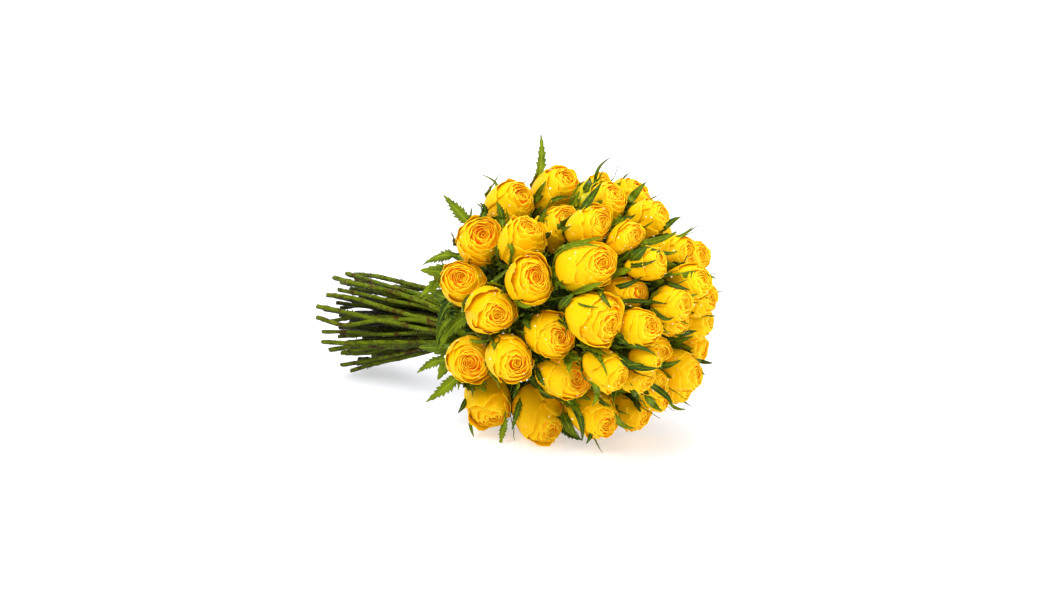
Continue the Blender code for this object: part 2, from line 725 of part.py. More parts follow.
def stem_routes(feet, ways, trees):
    """The points of each stem, from its cut end through the binding to its bloom.

    At the binding the stems lie side by side in the order of their blooms.  From there
    to the cut ends they spread and turn together, so no two of them cross.  They are
    cut a little aslant, shortest on the side of -Y, and raggedly.
    """
    count = len(feet)
    off = (feet - BINDING) @ DOME_FRAME.T
    splay = np.arctan2(np.linalg.norm(off[:, 1:], axis=1), off[:, 0])
    rank = np.empty(count)
    rank[np.argsort(splay)] = np.arange(count)
    wanted = unit(off[:, 1:]) * np.sqrt((rank + 0.5) / count)[:, None]
    spots = packed_disc(count, wanted)
    turn = np.array([[math.cos(STEM_TWIST), math.sin(STEM_TWIST)],
                     [-math.sin(STEM_TWIST), math.cos(STEM_TWIST)]])
    ragged = np.random.default_rng(5).uniform(-1.0, 1.0, count) * CUT_RAGGEDNESS
    routes = []
    for i in range(count):
        cut_spot = CUT_SPREAD * (spots[i] @ turn)
        shorter = ragged[i] - CUT_SLANT * cut_spot[0]
        cut = CUT_MIDDLE + cut_spot[0] * SIDE + cut_spot[1] * OVER + shorter * AXIS
        tied = BINDING + BINDING_RADIUS * (spots[i, 0] * SIDE + spots[i, 1] * OVER)
        hip = feet[i] - HIP_LENGTH * ways[i]
        bend = feet[i] - BEND_SETBACK * ways[i]
        bend = (1.0 - BEND_DRAW) * bend + BEND_DRAW * (tied + BEND_ALONG * (hip - tied))
        routes.append([cut, tied, 0.5 * (tied + bend), bend, hip])
    routes = spread_stems(np.array(routes))
    finished = []
    for i, route in enumerate(routes):
        for k in (2, 3, 4):
            route[k] = moved_clear(route[k], trees, STEM_RADIUS + BEND_CLEARANCE, i)
        route = cleared_route(route, trees, i)
        tilt = np.linalg.norm(np.cross(unit(feet[i] - route[-1]), ways[i]))
        seat = SEAT_GAP + SEAT_EASE * HIP_SWELL * STEM_RADIUS * tilt
        finished.append(route + [feet[i] - seat * ways[i]])
    return finished


def round_section(name, radius, sides):
    """A closed curve with a few sides, drawn along a tube as its section."""
    curve = bpy.data.curves.new(name, "CURVE")
    curve.dimensions = "2D"
    line = curve.splines.new("POLY")
    line.points.add(sides - 1)
    for point, turn in zip(line.points, -np.arange(sides) * 2.0 * math.pi / sides):
        point.co = (radius * math.cos(turn), radius * math.sin(turn), 0.0, 1.0)
    line.use_cyclic_u = True
    return new_object(name, curve)


def tube(name, points, section, swell):
    """A solid tube with a section along the points; `swell` scales it at each."""
    curve = bpy.data.curves.new(name, "CURVE")
    curve.dimensions = "3D"
    curve.bevel_mode = "OBJECT"
    curve.bevel_object = section
    curve.use_fill_caps = True
    line = curve.splines.new("POLY")
    line.points.add(len(points) - 1)
    for point, place, scale in zip(line.points, points, swell):
        point.co = (*place, 1.0)
        point.radius = scale
    return new_object(name, curve)


def ribbon(name, spine, across, widths, teeth):
    """A blade along its spine, as wide as given at each point of it.

    `across` is the blade's own side direction.  Where it has teeth, every other point
    of its two edges is drawn in, and its midrib lies a little lower than its edges.
    """
    spine = np.asarray(spine)
    last = len(spine) - 1

    def surface(u, v):
        station = np.rint(v * last).astype(int)
        half = 0.5 * np.asarray(widths)[station]
        if teeth:
            half = half * np.where(station % 2 == 1, TOOTH_DEPTH, 1.0)
        side = np.clip(2.0 * u - 1.0, -1.0, 1.0)
        droop = np.cross(unit(spine[-1] - spine[0]), across)
        rise = np.abs(side) * half * MIDRIB_DEPTH if teeth else np.zeros_like(half)
        return spine[station] + (side * half)[:, None] * across + rise[:, None] * droop

    return sheet(name, 2 if teeth else 1, last, surface, BLADE_THICKNESS)


def sepal_path(i, foot, way, size, turn, trees):
    """Points up the side of a bloom as far as a blade fits between it and the others."""
    right, over = frame_round(way, turn)
    path = []
    for height, half in zip(SEPAL_HEIGHTS * size, SEPAL_HALF_WIDTHS):
        start = foot + height * way + 2.0 * BLOOM_RADIUS * right
        place = trees[i].ray_cast(Vector(start), Vector(-right), 2.0 * BLOOM_RADIUS)[0]
        if place is None:
            break
        point = np.array(place) + SEPAL_STANDOFF * right
        if min(room(point + s * half * over, trees)[0] for s in (-1.0, 0.0, 1.0)) < SEPAL_ROOM:
            break
        path.append(point)
    return path, right, over


def make_sepals(i, foot, way, size, trees):
    """The long sepals of one bloom, where the grooves beside it leave room for them.

    An open bloom shows one, on the side towards the viewer; a closed bud is held by
    three.
    """
    wanted = 3 if i in CLOSED_BUDS else 1
    found = []
    for turn in SEPAL_TURNS:
        path, out, side = sepal_path(i, foot, way, size, turn, trees)
        facing = out @ TO_VIEWER
        if len(path) >= SEPAL_SHORTEST and (facing > SEPAL_FACING or wanted > 1):
            found.append((facing, turn, path, side))
    made, turns = [], []
    for facing, turn, path, side in sorted(found, key=lambda row: -row[0]):
        if len(made) == wanted or any(
                math.cos(turn - other) > SEPALS_APART for other in turns):
            continue
        spine = [foot - SEPAL_ROOT_DROP * way] + path[::2]
        lowest = 0.5 * (spine[0] + spine[1])
        chords = zip([lowest] + spine[1:], spine[1:])
        if min(tightest(a, b, trees, None)[0] for a, b in chords) < CHORD_ROOM:
            continue
        turns.append(turn)
        halves = np.concatenate([[SEPAL_ROOT_HALF_WIDTH], SEPAL_HALF_WIDTHS[:len(path):2]])
        made.append(ribbon("sepal", spine, side, 2.0 * halves, False))
    return made


def turned_down_sepals(i, foot, way, size, trees):
    """Short sepals that bend out and back below a bloom, as far as they have room."""
    right, over = frame_round(way, i * GOLDEN_TURN + 0.5)
    widths = [width for _, _, width in TURNED_DOWN]
    made = []
    for turn in TURNED_DOWN_TURNS:
        out = math.cos(turn) * right + math.sin(turn) * over
        spine = [foot - down * way + far * size * out for down, far, _ in TURNED_DOWN]
        if min(room(p, trees)[0] for p in spine[1:]) > TURNED_DOWN_ROOM:
            made.append(ribbon("sepal", spine, np.cross(way, out), widths, False))
    return made


def clear_stem_point(start, routes, trees):
    """The nearest point of any stem that a leaf stalk can reach past the blooms."""
    stations = np.linspace(0.2, 1.0, 12)[:, None]
    points = np.concatenate([a + stations * (b - a)
                             for route in routes for a, b in zip(route[1:-2], route[2:-1])])
    order = np.argsort(np.linalg.norm(points - start, axis=1))
    for point in points[order[:STALK_TRIES]]:
        between = start + np.linspace(0.0, 0.9, 8)[:, None] * (point - start)
        if min(room(p, trees)[0] for p in between) > STALK_ROOM:
            return point
    return None


def leaf_fits(spine, side, width, trees):
    edges = [spine + s * 0.5 * width * side for s in (-1.0, 0.0, 1.0)]
    return min(room(p, trees)[0] for p in np.concatenate(edges)) > LEAF_ROOM


def make_leaf(tip_pixel, foot_pixel, depth, width, routes, trees):
    """A blade between two pixels, with teeth if it is wide, on a flat stalk from a stem.

    It goes as near to its wanted depth as the blooms leave room for.
    """
    teeth = width > TOOTHED_FROM
    shares = TOOTHED_WIDTHS if teeth else PLAIN_WIDTHS
    stations = np.linspace(0.0, 1.0, len(shares))[:, None]
    for nearer in LEAF_DEPTHS:
        foot = seen_at(foot_pixel, depth + nearer)
        tip = seen_at(tip_pixel, depth + nearer - LEAF_TIP_SETBACK)
        side = unit(np.cross(tip - foot, TO_VIEWER))
        arch = LEAF_ARCH * np.linalg.norm(tip - foot) * np.sin(math.pi * stations)
        spine = foot + stations * (tip - foot) + arch * TO_VIEWER
        if not leaf_fits(spine, side, width, trees):
            continue
        stem = clear_stem_point(foot, routes, trees)
        if stem is not None:
            widths = np.concatenate([[STALK_WIDTH], width * shares])
            return [ribbon("leaf", np.concatenate([[stem], spine]), side, widths, teeth)]
    return []


def make_collar(routes, trees):
    """Toothed leaves that stand out from the stems behind the blooms of the far side."""
    chance = np.random.default_rng(11)
    stations = np.linspace(0.0, 1.0, len(TOOTHED_WIDTHS))[:, None]
    made = []
    for degrees in COLLAR_ANGLES:
        for _ in range(COLLAR_TRIES):
            turn = math.radians(degrees + chance.uniform(-10.0, 10.0))
            out = math.cos(turn) * SIDE + math.sin(turn) * OVER
            lean = chance.uniform(-0.5, 0.7)
            foot = BINDING + chance.uniform(*COLLAR_ALONG) * AXIS
            foot = foot + chance.uniform(*COLLAR_OUT) * out
            along = unit(out + lean * AXIS)
            side = unit(np.cross(along, chance.uniform(-0.6, 0.6) * out + AXIS))
            arch = COLLAR_ARCH * COLLAR_LENGTH * np.sin(math.pi * stations)
            spine = foot + stations * COLLAR_LENGTH * along - arch * np.cross(side, along)
            stem = clear_stem_point(foot, routes, trees)
            if stem is None or np.linalg.norm(stem - foot) > COLLAR_STALK:
                continue
            if leaf_fits(spine, side, COLLAR_WIDTH, trees):
                widths = np.concatenate([[STALK_WIDTH], COLLAR_WIDTH * TOOTHED_WIDTHS])
                made.append(ribbon("leaf", np.concatenate([[stem], spine]), side, widths, True))
                break
    return made


def make_tie():
    """The band round the binding: a turned ring of oblong section."""
    inner, outer, half = TIE_RADIUS, TIE_RADIUS + TIE_THICKNESS, TIE_HALF_WIDTH
    shape = ((outer, half), (outer, -half), (inner, -half), (inner, half), (outer, half))
    mesh = bpy.data.meshes.new("tie_profile")
    mesh.from_pydata([(r, 0.0, z) for r, z in shape], [(i, i + 1) for i in range(4)], [])
    turned = new_object("tie_turned", mesh)
    screw = turned.modifiers.new("turn", "SCREW")
    screw.steps = ROUND_SIDES
    screw.render_steps = ROUND_SIDES
    screw.use_merge_vertices = True
    screw.merge_threshold = 1e-5
    band = finished_mesh(turned)
    discard(turned)
    band.transform(Matrix.Translation(Vector(BINDING - TIE_SETBACK * AXIS - BOX_MIDDLE))
                   @ Vector(AXIS).to_track_quat("Z", "Y").to_matrix().to_4x4())
    band.materials.append(material("tie_tan", TIE_TAN, 0.7))
    return new_object("tie", band)


def rest_flat(obj, slab):
    """Cuts away what reaches below the surface, which leaves a small flat spot."""
    cut = obj.modifiers.new("flat", "BOOLEAN")
    cut.operation = "DIFFERENCE"
    cut.object = slab
    cut.solver = "EXACT"


def build():
    for old in list(bpy.data.objects):
        bpy.data.objects.remove(old, do_unlink=True)
    middles, ways, sizes = settled_blooms()
    blooms, trees = make_blooms(middles, ways, sizes)
    feet = middles - ways * (BLOOM_LENGTH * sizes)[:, None]
    routes = stem_routes(feet, ways, trees)
    stem_section = round_section("stem_section", STEM_RADIUS, STEM_SIDES)
    pieces = []
    for i, route in enumerate(routes):
        swell = (1.0,) * (len(route) - 1) + (HIP_SWELL,)
        pieces.append(tube("stem", route, stem_section, swell))
        if i in SEPALLED:
            pieces += make_sepals(i, feet[i], ways[i], sizes[i], trees)
        if ways[i] @ AXIS < RIM_LEAN:
            pieces += turned_down_sepals(i, feet[i], ways[i], sizes[i], trees)
    for row in LEAVES:
        pieces += make_leaf(*row, routes, trees)
    pieces += make_collar(routes, trees)
    shape = bmesh.new()
    bmesh.ops.create_cone(shape, cap_ends=True, segments=ROUND_SIDES, radius1=BINDING_RADIUS,
                          radius2=BINDING_RADIUS, depth=HUB_LENGTH)
    shape.transform(Matrix.Translation(Vector(BINDING))
                    @ Vector(AXIS).to_track_quat("Z", "Y").to_matrix().to_4x4())
    mesh = bpy.data.meshes.new("hub")
    shape.to_mesh(mesh)
    shape.free()
    hub = new_object("hub", mesh)
    green = material("stem_green", STEM_GREEN, 0.6)
    stems = fused("stems", hub, pieces, "MANIFOLD")
    discard(stem_section)
    stems.transform(Matrix.Translation(Vector(-BOX_MIDDLE)))
    stems.materials.clear()
    stems.materials.append(green)
    new_object("stems", stems)
    make_tie()
    bpy.ops.mesh.primitive_cube_add(size=1.0, location=(0.0, 0.0, -0.5))
    slab = bpy.context.object
    slab.name = "surface_cutter"
    slab.hide_render = True
    slab.display_type = "WIRE"
    for obj in blooms + [bpy.data.objects["stems"]]:
        if min(v.co.z for v in obj.data.vertices) < 0.0:
            rest_flat(obj, slab)


build()
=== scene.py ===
"""A bunch of yellow roses on its side, dressed petal by petal round its solids.

Everything is worked out in the bunch's own frame, in metres: the binding stands over
the origin, the stems point to -X and the blooms to +X.  Each mesh is moved by
BOX_MIDDLE as it is made, which brings it to the frame of the solids.
"""
import math

import bpy
import numpy as np
from mathutils import Matrix, Vector
from mathutils.bvhtree import BVHTree


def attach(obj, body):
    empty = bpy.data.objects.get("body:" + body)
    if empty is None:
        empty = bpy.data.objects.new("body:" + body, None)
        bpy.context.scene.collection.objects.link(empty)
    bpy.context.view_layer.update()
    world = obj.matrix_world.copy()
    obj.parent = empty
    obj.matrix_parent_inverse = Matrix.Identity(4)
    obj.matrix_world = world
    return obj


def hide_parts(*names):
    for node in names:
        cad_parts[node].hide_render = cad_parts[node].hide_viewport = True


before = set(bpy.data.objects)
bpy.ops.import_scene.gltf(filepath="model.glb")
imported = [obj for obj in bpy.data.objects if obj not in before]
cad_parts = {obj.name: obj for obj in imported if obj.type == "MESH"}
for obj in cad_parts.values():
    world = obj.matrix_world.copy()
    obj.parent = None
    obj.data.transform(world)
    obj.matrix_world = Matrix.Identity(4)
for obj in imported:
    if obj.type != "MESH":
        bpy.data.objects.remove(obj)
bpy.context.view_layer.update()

# Driving sizes of the bunch, as in the solids
BINDING_TO_CUT = 0.202
BINDING_TO_HEART = 0.155
DOME_DEPTH = 0.152
DOME_RADIUS = 0.123
CUT_HEIGHT = 0.0605
BINDING_HEIGHT = 0.094
HEART_HEIGHT = 0.1305
CUT_SPREAD = 0.060
BINDING_RADIUS = 0.0250
CUT_RAGGEDNESS = 0.010
CUT_SLANT = 0.30
STEM_TWIST = math.radians(-38.0)
BOX_MIDDLE = np.array([0.0401, -0.0010, 0.0])

BLOOM_LENGTH = 0.056
STEM_RADIUS = 0.0030
TIE_RADIUS = 0.0302
TIE_SETBACK = 0.0055
SEAT_GAP = 0.0003
GOLDEN_TURN = 2.39996

# How the photograph looks at the bunch: the distance in metres, the rest in degrees
# and pixels
VIEW_AZIMUTH = math.radians(43.0)
VIEW_ELEVATION = math.radians(12.0)
VIEW_DISTANCE = 1.2
FOCAL_PIXELS = 1217.0
PICTURE_WIDTH = 1050.0
PICTURE_MIDDLE = (525.0, 300.0)
HEART_PIXEL = (576.0, 306.0)

# One row for each bloom in sight: the pixel of its middle, its size against the
# driving sizes, and the pixels from its foot to its middle where both can be seen
SEEN_BLOOMS = (
    (482.0, 235.0, 0.98, (5, -7)), (461.6, 277.0, 0.96, (-6, -9)),
    (497.8, 313.5, 1.04, (14, 8)), (469.0, 364.0, 0.95, (2, 3)),
    (519.4, 364.0, 0.96, (22, 18)), (493.0, 417.0, 1.00, (11, 37)),
    (552.0, 432.0, 1.06, (32, 42)), (577.3, 381.5, 1.00, (28, 20)),
    (561.5, 337.3, 0.94, (26, 8)), (537.3, 275.2, 0.98, (12, -12)),
    (531.0, 228.0, 0.95, (17, -36)), (522.0, 194.0, 0.98, (32, -8)),
    (569.0, 178.0, 0.98, (27, -20)), (569.0, 216.3, 0.88, (16, -32)),
    (608.0, 225.0, 0.88, (28, -3)), (635.0, 235.0, 0.74, (26, -8)),
    (616.0, 194.0, 0.86, (26, -14)), (609.0, 182.0, 0.80, None),
    (664.0, 212.0, 0.84, (32, -16)), (603.6, 261.5, 1.00, (48, -8)),
    (615.6, 327.4, 1.04, (44, 22)), (648.0, 289.0, 0.90, (40, -4)),
    (659.0, 262.0, 0.76, None), (692.0, 254.0, 0.90, (48, -6)),
    (704.0, 254.0, 0.80, None), (703.0, 281.0, 0.78, None),
    (710.0, 299.0, 0.78, None), (711.0, 321.0, 0.84, None),
    (686.0, 300.0, 0.76, None), (686.0, 318.0, 0.82, (32, 8)),
    (648.0, 326.0, 0.82, (27, -3)), (665.0, 349.0, 0.82, (24, 16)),
    (659.0, 364.0, 0.58, (34, 8)), (706.0, 350.0, 0.86, None),
    (673.6, 384.0, 0.80, (26, 10)), (690.0, 376.0, 0.80, None),
    (690.0, 392.0, 0.78, None), (667.0, 404.0, 0.60, (24, 18)),
    (646.0, 417.0, 0.86, (30, 18)), (609.0, 424.0, 0.90, (33, 20)),
    (622.0, 379.5, 0.88, (33, 26)), (650.0, 380.0, 0.70, None),
)
CLOSED_BUDS = (32, 37)
GREENISH_BLOOMS = (16, 17)

# How wide the mouth of a bloom is against its belly, where it differs from the usual
MOUTHS = {0: 0.57, 1: 0.55, 2: 0.47, 3: 0.58, 4: 0.46, 5: 0.42, 6: 0.40, 7: 0.44, 8: 0.45,
          9: 0.55, 10: 0.44, 11: 0.48, 12: 0.46, 13: 0.46, 14: 0.50}
USUAL_MOUTH, BUD_MOUTH = 0.48, 0.30
# Blooms that are longer than the rest, as a share of their length
STRETCHES = {5: 1.16, 6: 1.06, 2: 1.05}
# How far the outermost petals of a bloom stand off at the lip, as a share of the belly
FLARES = {2: 0.10, 5: 0.30, 6: 0.26, 9: 0.22, 10: 0.10, 12: 0.12, 14: 0.12, 20: 0.16, 25: 0.16}
# The radius of a bloom's belly, and how high up the bloom it is
BELLY, BELLY_SHARE = 0.0216, 0.509

# The blooms on the far side and below: angle from the axis of the bunch, and angle
# round it from +Y upwards, in degrees
HIDDEN_BLOOMS = (
    (114, 357), (104, 291), (114, 54), (86, 333), (88, 24),
    (108, 328), (110, 24), (92, 357), (92, 312), (100, 42),
    (62, 2), (66, 36), (64, 70), (60, 330),
)
HIDDEN_SIZE = 0.92
STEM_COUNT = len(SEEN_BLOOMS) + len(HIDDEN_BLOOMS)

# The balls that stand for a bloom while the blooms settle against each other
BALL_STATIONS = np.array([0.010, 0.023, 0.037, 0.049, 0.056])
BALL_RADII = np.array([0.0145, 0.0215, 0.0200, 0.0178, 0.0160])
BALL_SHRINK = 0.90
SETTLING_STEPS = 300
PRESSING_ROUNDS = 5
# How far down a bloom may point, as the last part of its way
LOWEST_LEAN = -0.45
# How strongly a settling bloom is drawn to its line of sight and to its first place,
# and how near to the dome it stays, as shares of the dome's size
SIGHT_PULL, HOME_PULL, LEVELS = 0.10, 0.02, (0.85, 1.04)
# The share of the way to a wall that nothing presses, and how far a sepal stands past it
STILL_SHARE, SEPAL_PROUD = 0.3, 0.0012

# One row for each ring of petals, from the outside in: its belly against the bloom's,
# its lip against the mouth, how much wider than that the lip is, how high its lips and
# its feet are, how many petals, half the angle that one covers, how far its winding and
# its curl move it, how deep its ruffles are, and the points along and across it
PETAL_RINGS = (
    (1.035, 1.00, 0.12, 0.0450, 0.0004, 3, 60, 0.0008, 0.0012, 0.0012, 10, 17),
    (1.000, 1.00, 0.04, 0.0530, 0.0006, 3, 76, 0.0010, 0.0010, 0.0009, 10, 19),
    (0.965, 0.95, 0.00, 0.0552, 0.0200, 3, 80, 0.0009, 0.0008, 0.0007, 7, 17),
    (0.900, 0.82, 0.00, 0.0560, 0.0380, 4, 60, 0.0009, 0.0008, 0.0006, 5, 13),
    (0.820, 0.69, 0.00, 0.0560, 0.0390, 4, 60, 0.0009, 0.0007, 0.0006, 5, 11),
    (0.720, 0.56, 0.00, 0.0557, 0.0400, 3, 82, 0.0009, 0.0007, 0.0005, 5, 11),
    (0.600, 0.43, 0.00, 0.0553, 0.0410, 3, 84, 0.0008, 0.0006, 0.0004, 5, 9),
    (0.460, 0.30, 0.00, 0.0548, 0.0420, 2, 120, 0.0008, 0.0005, 0.0003, 5, 9),
    (0.310, 0.18, 0.00, 0.0544, 0.0430, 2, 130, 0.0007, 0.0003, 0.0002, 4, 9),
    (0.170, 0.08, 0.00, 0.0539, 0.0440, 2, 140, 0.0005, 0.0002, 0.0001, 4, 7),
)
PETAL_THICKNESS, SEPAL_THICKNESS, LEAF_THICKNESS = 0.00036, 0.0005, 0.0004
# How much fuller the petals make a bloom before its neighbours press on it, and how
# many rings from the outside in carry drops and leaves
FULLNESS = 1.06
OUTER_RINGS = 3

# Leaves and long sepals in sight: the pixels of the foot, the middle and the tip, half
# the width in pixels, and whether the blade has teeth.  They lie over the blooms.
SPRIGS = (
    (533, 201, 540, 190, 546, 181, 2.6, 0), (543, 208, 556, 199, 571, 197, 3.4, 1),
    (541, 222, 543, 214, 547, 207, 3.2, 1), (580, 212, 590, 199, 602, 182, 4.2, 0),
    (596, 194, 597, 172, 610, 158, 1.7, 0), (584, 192, 588, 186, 590, 178, 4.6, 0),
    (628, 203, 635, 194, 646, 182, 4.6, 0), (619, 216, 628, 218, 636, 214, 2.0, 0),
    (663, 231, 671, 222, 681, 217, 3.2, 0), (673, 238, 683, 235, 692, 227, 2.0, 0),
    (636, 243, 658, 240, 677, 232, 3.6, 0), (640, 245, 662, 253, 678, 251, 2.6, 0),
    (622, 265, 640, 265, 656, 260, 3.2, 1), (631, 262, 638, 254, 648, 247, 5.6, 0),
    (556, 256, 575, 245, 600, 247, 3.2, 1), (568, 245, 586, 241, 601, 237, 2.2, 0),
    (660, 282, 692, 274, 716, 278.6, 3.4, 0), (662, 281, 676, 286, 690, 290, 2.6, 0),
    (574, 292, 588, 288, 603, 282, 3.4, 0), (608, 288, 626, 285, 642, 277, 3.0, 0),
    (596, 287, 603, 297, 611, 308, 4.0, 1), (560, 309, 566, 301, 574, 294, 5.2, 0),
    (572, 301, 586, 306, 599, 307, 1.2, 0), (617, 302, 640, 301, 667, 304, 2.6, 0),
    (652, 306, 663, 318, 674, 317, 2.2, 0), (684, 298, 691, 296, 698, 294, 1.6, 0),
    (677, 336, 686, 333, 697, 331, 2.8, 0), (617, 348, 638, 347, 657, 356, 2.6, 0),
    (616, 352, 634, 366, 659, 368, 4.4, 0), (658, 365, 668, 365, 681, 360, 3.6, 0),
    (694, 359, 704, 362, 713, 363, 2.2, 0), (690, 368, 698, 370, 705, 375, 1.5, 0),
    (577, 345, 596, 354, 607, 376, 2.8, 0), (642, 380, 663, 393, 672, 405, 3.6, 0),
    (668, 401, 676, 408, 686, 409, 1.8, 0), (629, 388, 635, 394, 639, 401, 2.8, 0),
    (590, 380, 597, 392, 592, 406, 3.4, 0), (594, 394, 602, 402, 611, 406, 2.4, 0),
    (645, 392, 652, 403, 662, 411, 4.0, 0), (612, 409, 620, 423, 634, 428, 3.4, 0),
    (568, 400, 580, 418, 582, 441, 4.0, 0), (563, 412, 568, 425, 578, 437, 5.4, 0),
    (558, 424, 569, 433, 582, 440, 6.0, 1), (522, 396, 517, 412, 512, 430, 4.6, 1),
    (519, 384, 516, 391, 513, 399, 3.4, 1), (497, 431, 501, 440, 500, 450, 3.4, 0),
    (466, 398, 463, 406, 458, 413, 2.6, 0), (470, 418, 471, 428, 474, 437, 1.8, 0),
    (477, 222, 485, 211, 480, 203, 5.0, 1), (503, 226, 501, 213, 497, 202, 6.0, 1),
    (505, 240, 512, 250, 508, 262, 3.6, 1), (486, 262, 492, 268, 500, 272, 4.0, 1),
    (492, 282, 500, 276, 509, 268, 3.2, 1), (516, 300, 524, 306, 532, 306, 3.2, 1),
    (531, 314, 527, 322, 531, 329, 4.2, 0), (540, 390, 546, 396, 556, 398, 3.0, 1),
    (536, 366, 540, 378, 545, 386, 4.2, 1), (470, 340, 482, 342, 492, 338, 2.6, 1),
    (592, 430, 590, 437, 586, 444, 2.2, 0),
)
SPRIG_TEETH = 7
SPRIG_WIDTH = 0.88

# Toothed leaves that stand clear of the blooms: the pixels of the foot, the middle and
# the tip, half the width in pixels, how much nearer the viewer than the heart, and the
# tone from 0, dark, to 1, light.  The last row is a curled sepal, too narrow for teeth.
OUTER_LEAVES = (
    (470, 225, 459, 212, 443.5, 195, 8.0, -0.012, 0.6),
    (458, 256, 440, 256, 423, 265, 7.6, -0.016, 0.5),
    (458, 278, 442, 279, 427, 294, 6.4, -0.030, 0.5),
    (450, 360, 434, 362, 417, 373, 6.4, -0.026, 0.5),
    (458, 374, 447, 386, 426, 402, 8.4, -0.022, 0.6),
    (469, 315, 452, 324, 438, 352, 8.0, -0.060, 0.5),
    (468, 299, 452, 302, 438, 322, 7.0, -0.060, 0.2),
    (535.5, 187, 541, 162, 541, 134, 6.0, -0.016, 0.6),
    (466, 322, 455, 340, 444, 366, 5.0, -0.056, 0.5),
    (471, 290, 452, 290, 436, 308, 7.0, -0.066, 0.3),
    (476, 296, 453, 299, 438, 327, 10.5, -0.030, 0.0),
    (472, 308, 456, 312, 447, 332, 8.0, -0.036, 0.1),
    (482, 318, 459, 321, 438, 351, 9.5, -0.022, 0.55),
    (474, 284, 458, 284, 442, 296, 7.0, -0.050, 0.5),
    (472, 340, 456, 348, 440, 356, 5.0, -0.054, 0.7),
    (464, 302, 448, 312, 436, 330, 9.5, -0.044, 0.1),
    (464, 274, 440, 282, 420, 297, 8.5, -0.060, 0.7),
    (464, 293, 446, 291, 422, 300, 8.5, -0.050, 0.5),
    (462, 316, 443, 326, 437, 350, 4.8, -0.030, 0.3),
    (518, 374, 511, 388, 508, 414, 8.0, -0.006, 0.1),
    (503, 378, 509, 391, 514, 415, 6.0, -0.010, 0.4),
    (505, 416, 503, 429, 500, 446, 5.0, 0.012, 0.6),
    (486, 268, 492, 272, 500, 277, 4.0, -0.020, 0.3),
    (508, 262, 504, 272, 506, 286, 5.0, -0.020, 0.1),
    (488, 203, 497, 186, 481, 174.5, 1.5, -0.010, 0.6),
)
OUTER_TEETH = 9
NARROWEST_TOOTHED = 2

DOME_LEAVES = 120
NECK_LEAVES = 38
# How far a leaf that is pushed out of a bloom ends up from its petals
LEAF_CLEARANCE, TUCKED_CLEARANCE = 0.0008, 0.0006
STALK_RADIUS = 0.0008

# The lowest that the middle of a sepal or a leaf, a stem's skin and its cut may be
SEPAL_FLOOR, LEAF_FLOOR, STEM_FLOOR, CUT_FLOOR = 0.0006, 0.0005, 0.0002, 0.0003

# A stem's path has 73 points, from its cut end to its bloom, and is tied at point 40
SPAN_STEPS = 8
PUSHED_OUT = slice(42, -12)
STALK_ROOTS = slice(46, -10)
STEM_STATIONS, STEM_SIDES = 74, 9
THORN_TRIES = 4
THORN_RADII = np.array([[0.0011], [0.0006], [0.0001]])

DROP_SIZE = 0.00060
DROPS_TO_A_RING = 8

# Seeds of the random draws; the first three have the number of the bloom or stem added
BLOOM_SEED, INNERMOST_SEED, STEM_SEED = 300, 600, 900
RAGGED_SEED, PATH_SEED, DROP_SEED = 5, 17, 41
SIGHT_SEED, BETWEEN_SEED, WITHIN_SEED = 77, 78, 79


def unit(v):
    """Rows of v, each brought to length 1."""
    v = np.asarray(v, dtype=float)
    return v / np.maximum(np.linalg.norm(v, axis=-1, keepdims=True), 1e-12)


def ramp(x, start, end):
    """A smooth step: 0 below start, 1 above end, 3s^2 - 2s^3 between."""
    s = np.clip((x - start) / (end - start), 0.0, 1.0)
    return s * s * (3.0 - 2.0 * s)


def turns(count):
    """Angles in equal steps once round."""
    return np.linspace(0.0, 2.0 * np.pi, count, endpoint=False)


def spoke(turn, right, over):
    """The way at an angle between two others: cos(turn) right + sin(turn) over."""
    turn = np.asarray(turn)[..., None]
    return np.cos(turn) * right + np.sin(turn) * over


BINDING = np.array([0.0, 0.0, BINDING_HEIGHT])
HEART = np.array([math.sqrt(BINDING_TO_HEART ** 2 - (HEART_HEIGHT - BINDING_HEIGHT) ** 2),
                  0.0, HEART_HEIGHT])
CUT_MIDDLE = np.array([-math.sqrt(BINDING_TO_CUT ** 2 - (BINDING_HEIGHT - CUT_HEIGHT) ** 2),
                       0.0, CUT_HEIGHT])
AXIS = unit(HEART - BINDING)
SIDE = np.array([0.0, 1.0, 0.0])
UP = np.array([0.0, 0.0, 1.0])
OVER = np.cross(AXIS, SIDE)
DOME_FRAME = np.stack([AXIS, SIDE, OVER])
DOME_SIZES = np.array([DOME_DEPTH, DOME_RADIUS, DOME_RADIUS])
FAN_FOCUS = BINDING + 0.008 * AXIS
TO_VIEWER = np.array([math.sin(VIEW_AZIMUTH) * math.cos(VIEW_ELEVATION),
                      -math.cos(VIEW_AZIMUTH) * math.cos(VIEW_ELEVATION),
                      math.sin(VIEW_ELEVATION)])
VIEW_RIGHT = np.array([math.cos(VIEW_AZIMUTH), math.sin(VIEW_AZIMUTH), 0.0])
VIEW_UP = np.cross(TO_VIEWER, VIEW_RIGHT)


def sight(pixel):
    """The direction of the line of sight through a pixel, not yet of length 1."""
    across = (pixel[0] - PICTURE_MIDDLE[0]) / FOCAL_PIXELS
    down = (pixel[1] - PICTURE_MIDDLE[1]) / FOCAL_PIXELS
    return across * VIEW_RIGHT - down * VIEW_UP - TO_VIEWER


VIEWPOINT = HEART - VIEW_DISTANCE * sight(HEART_PIXEL)


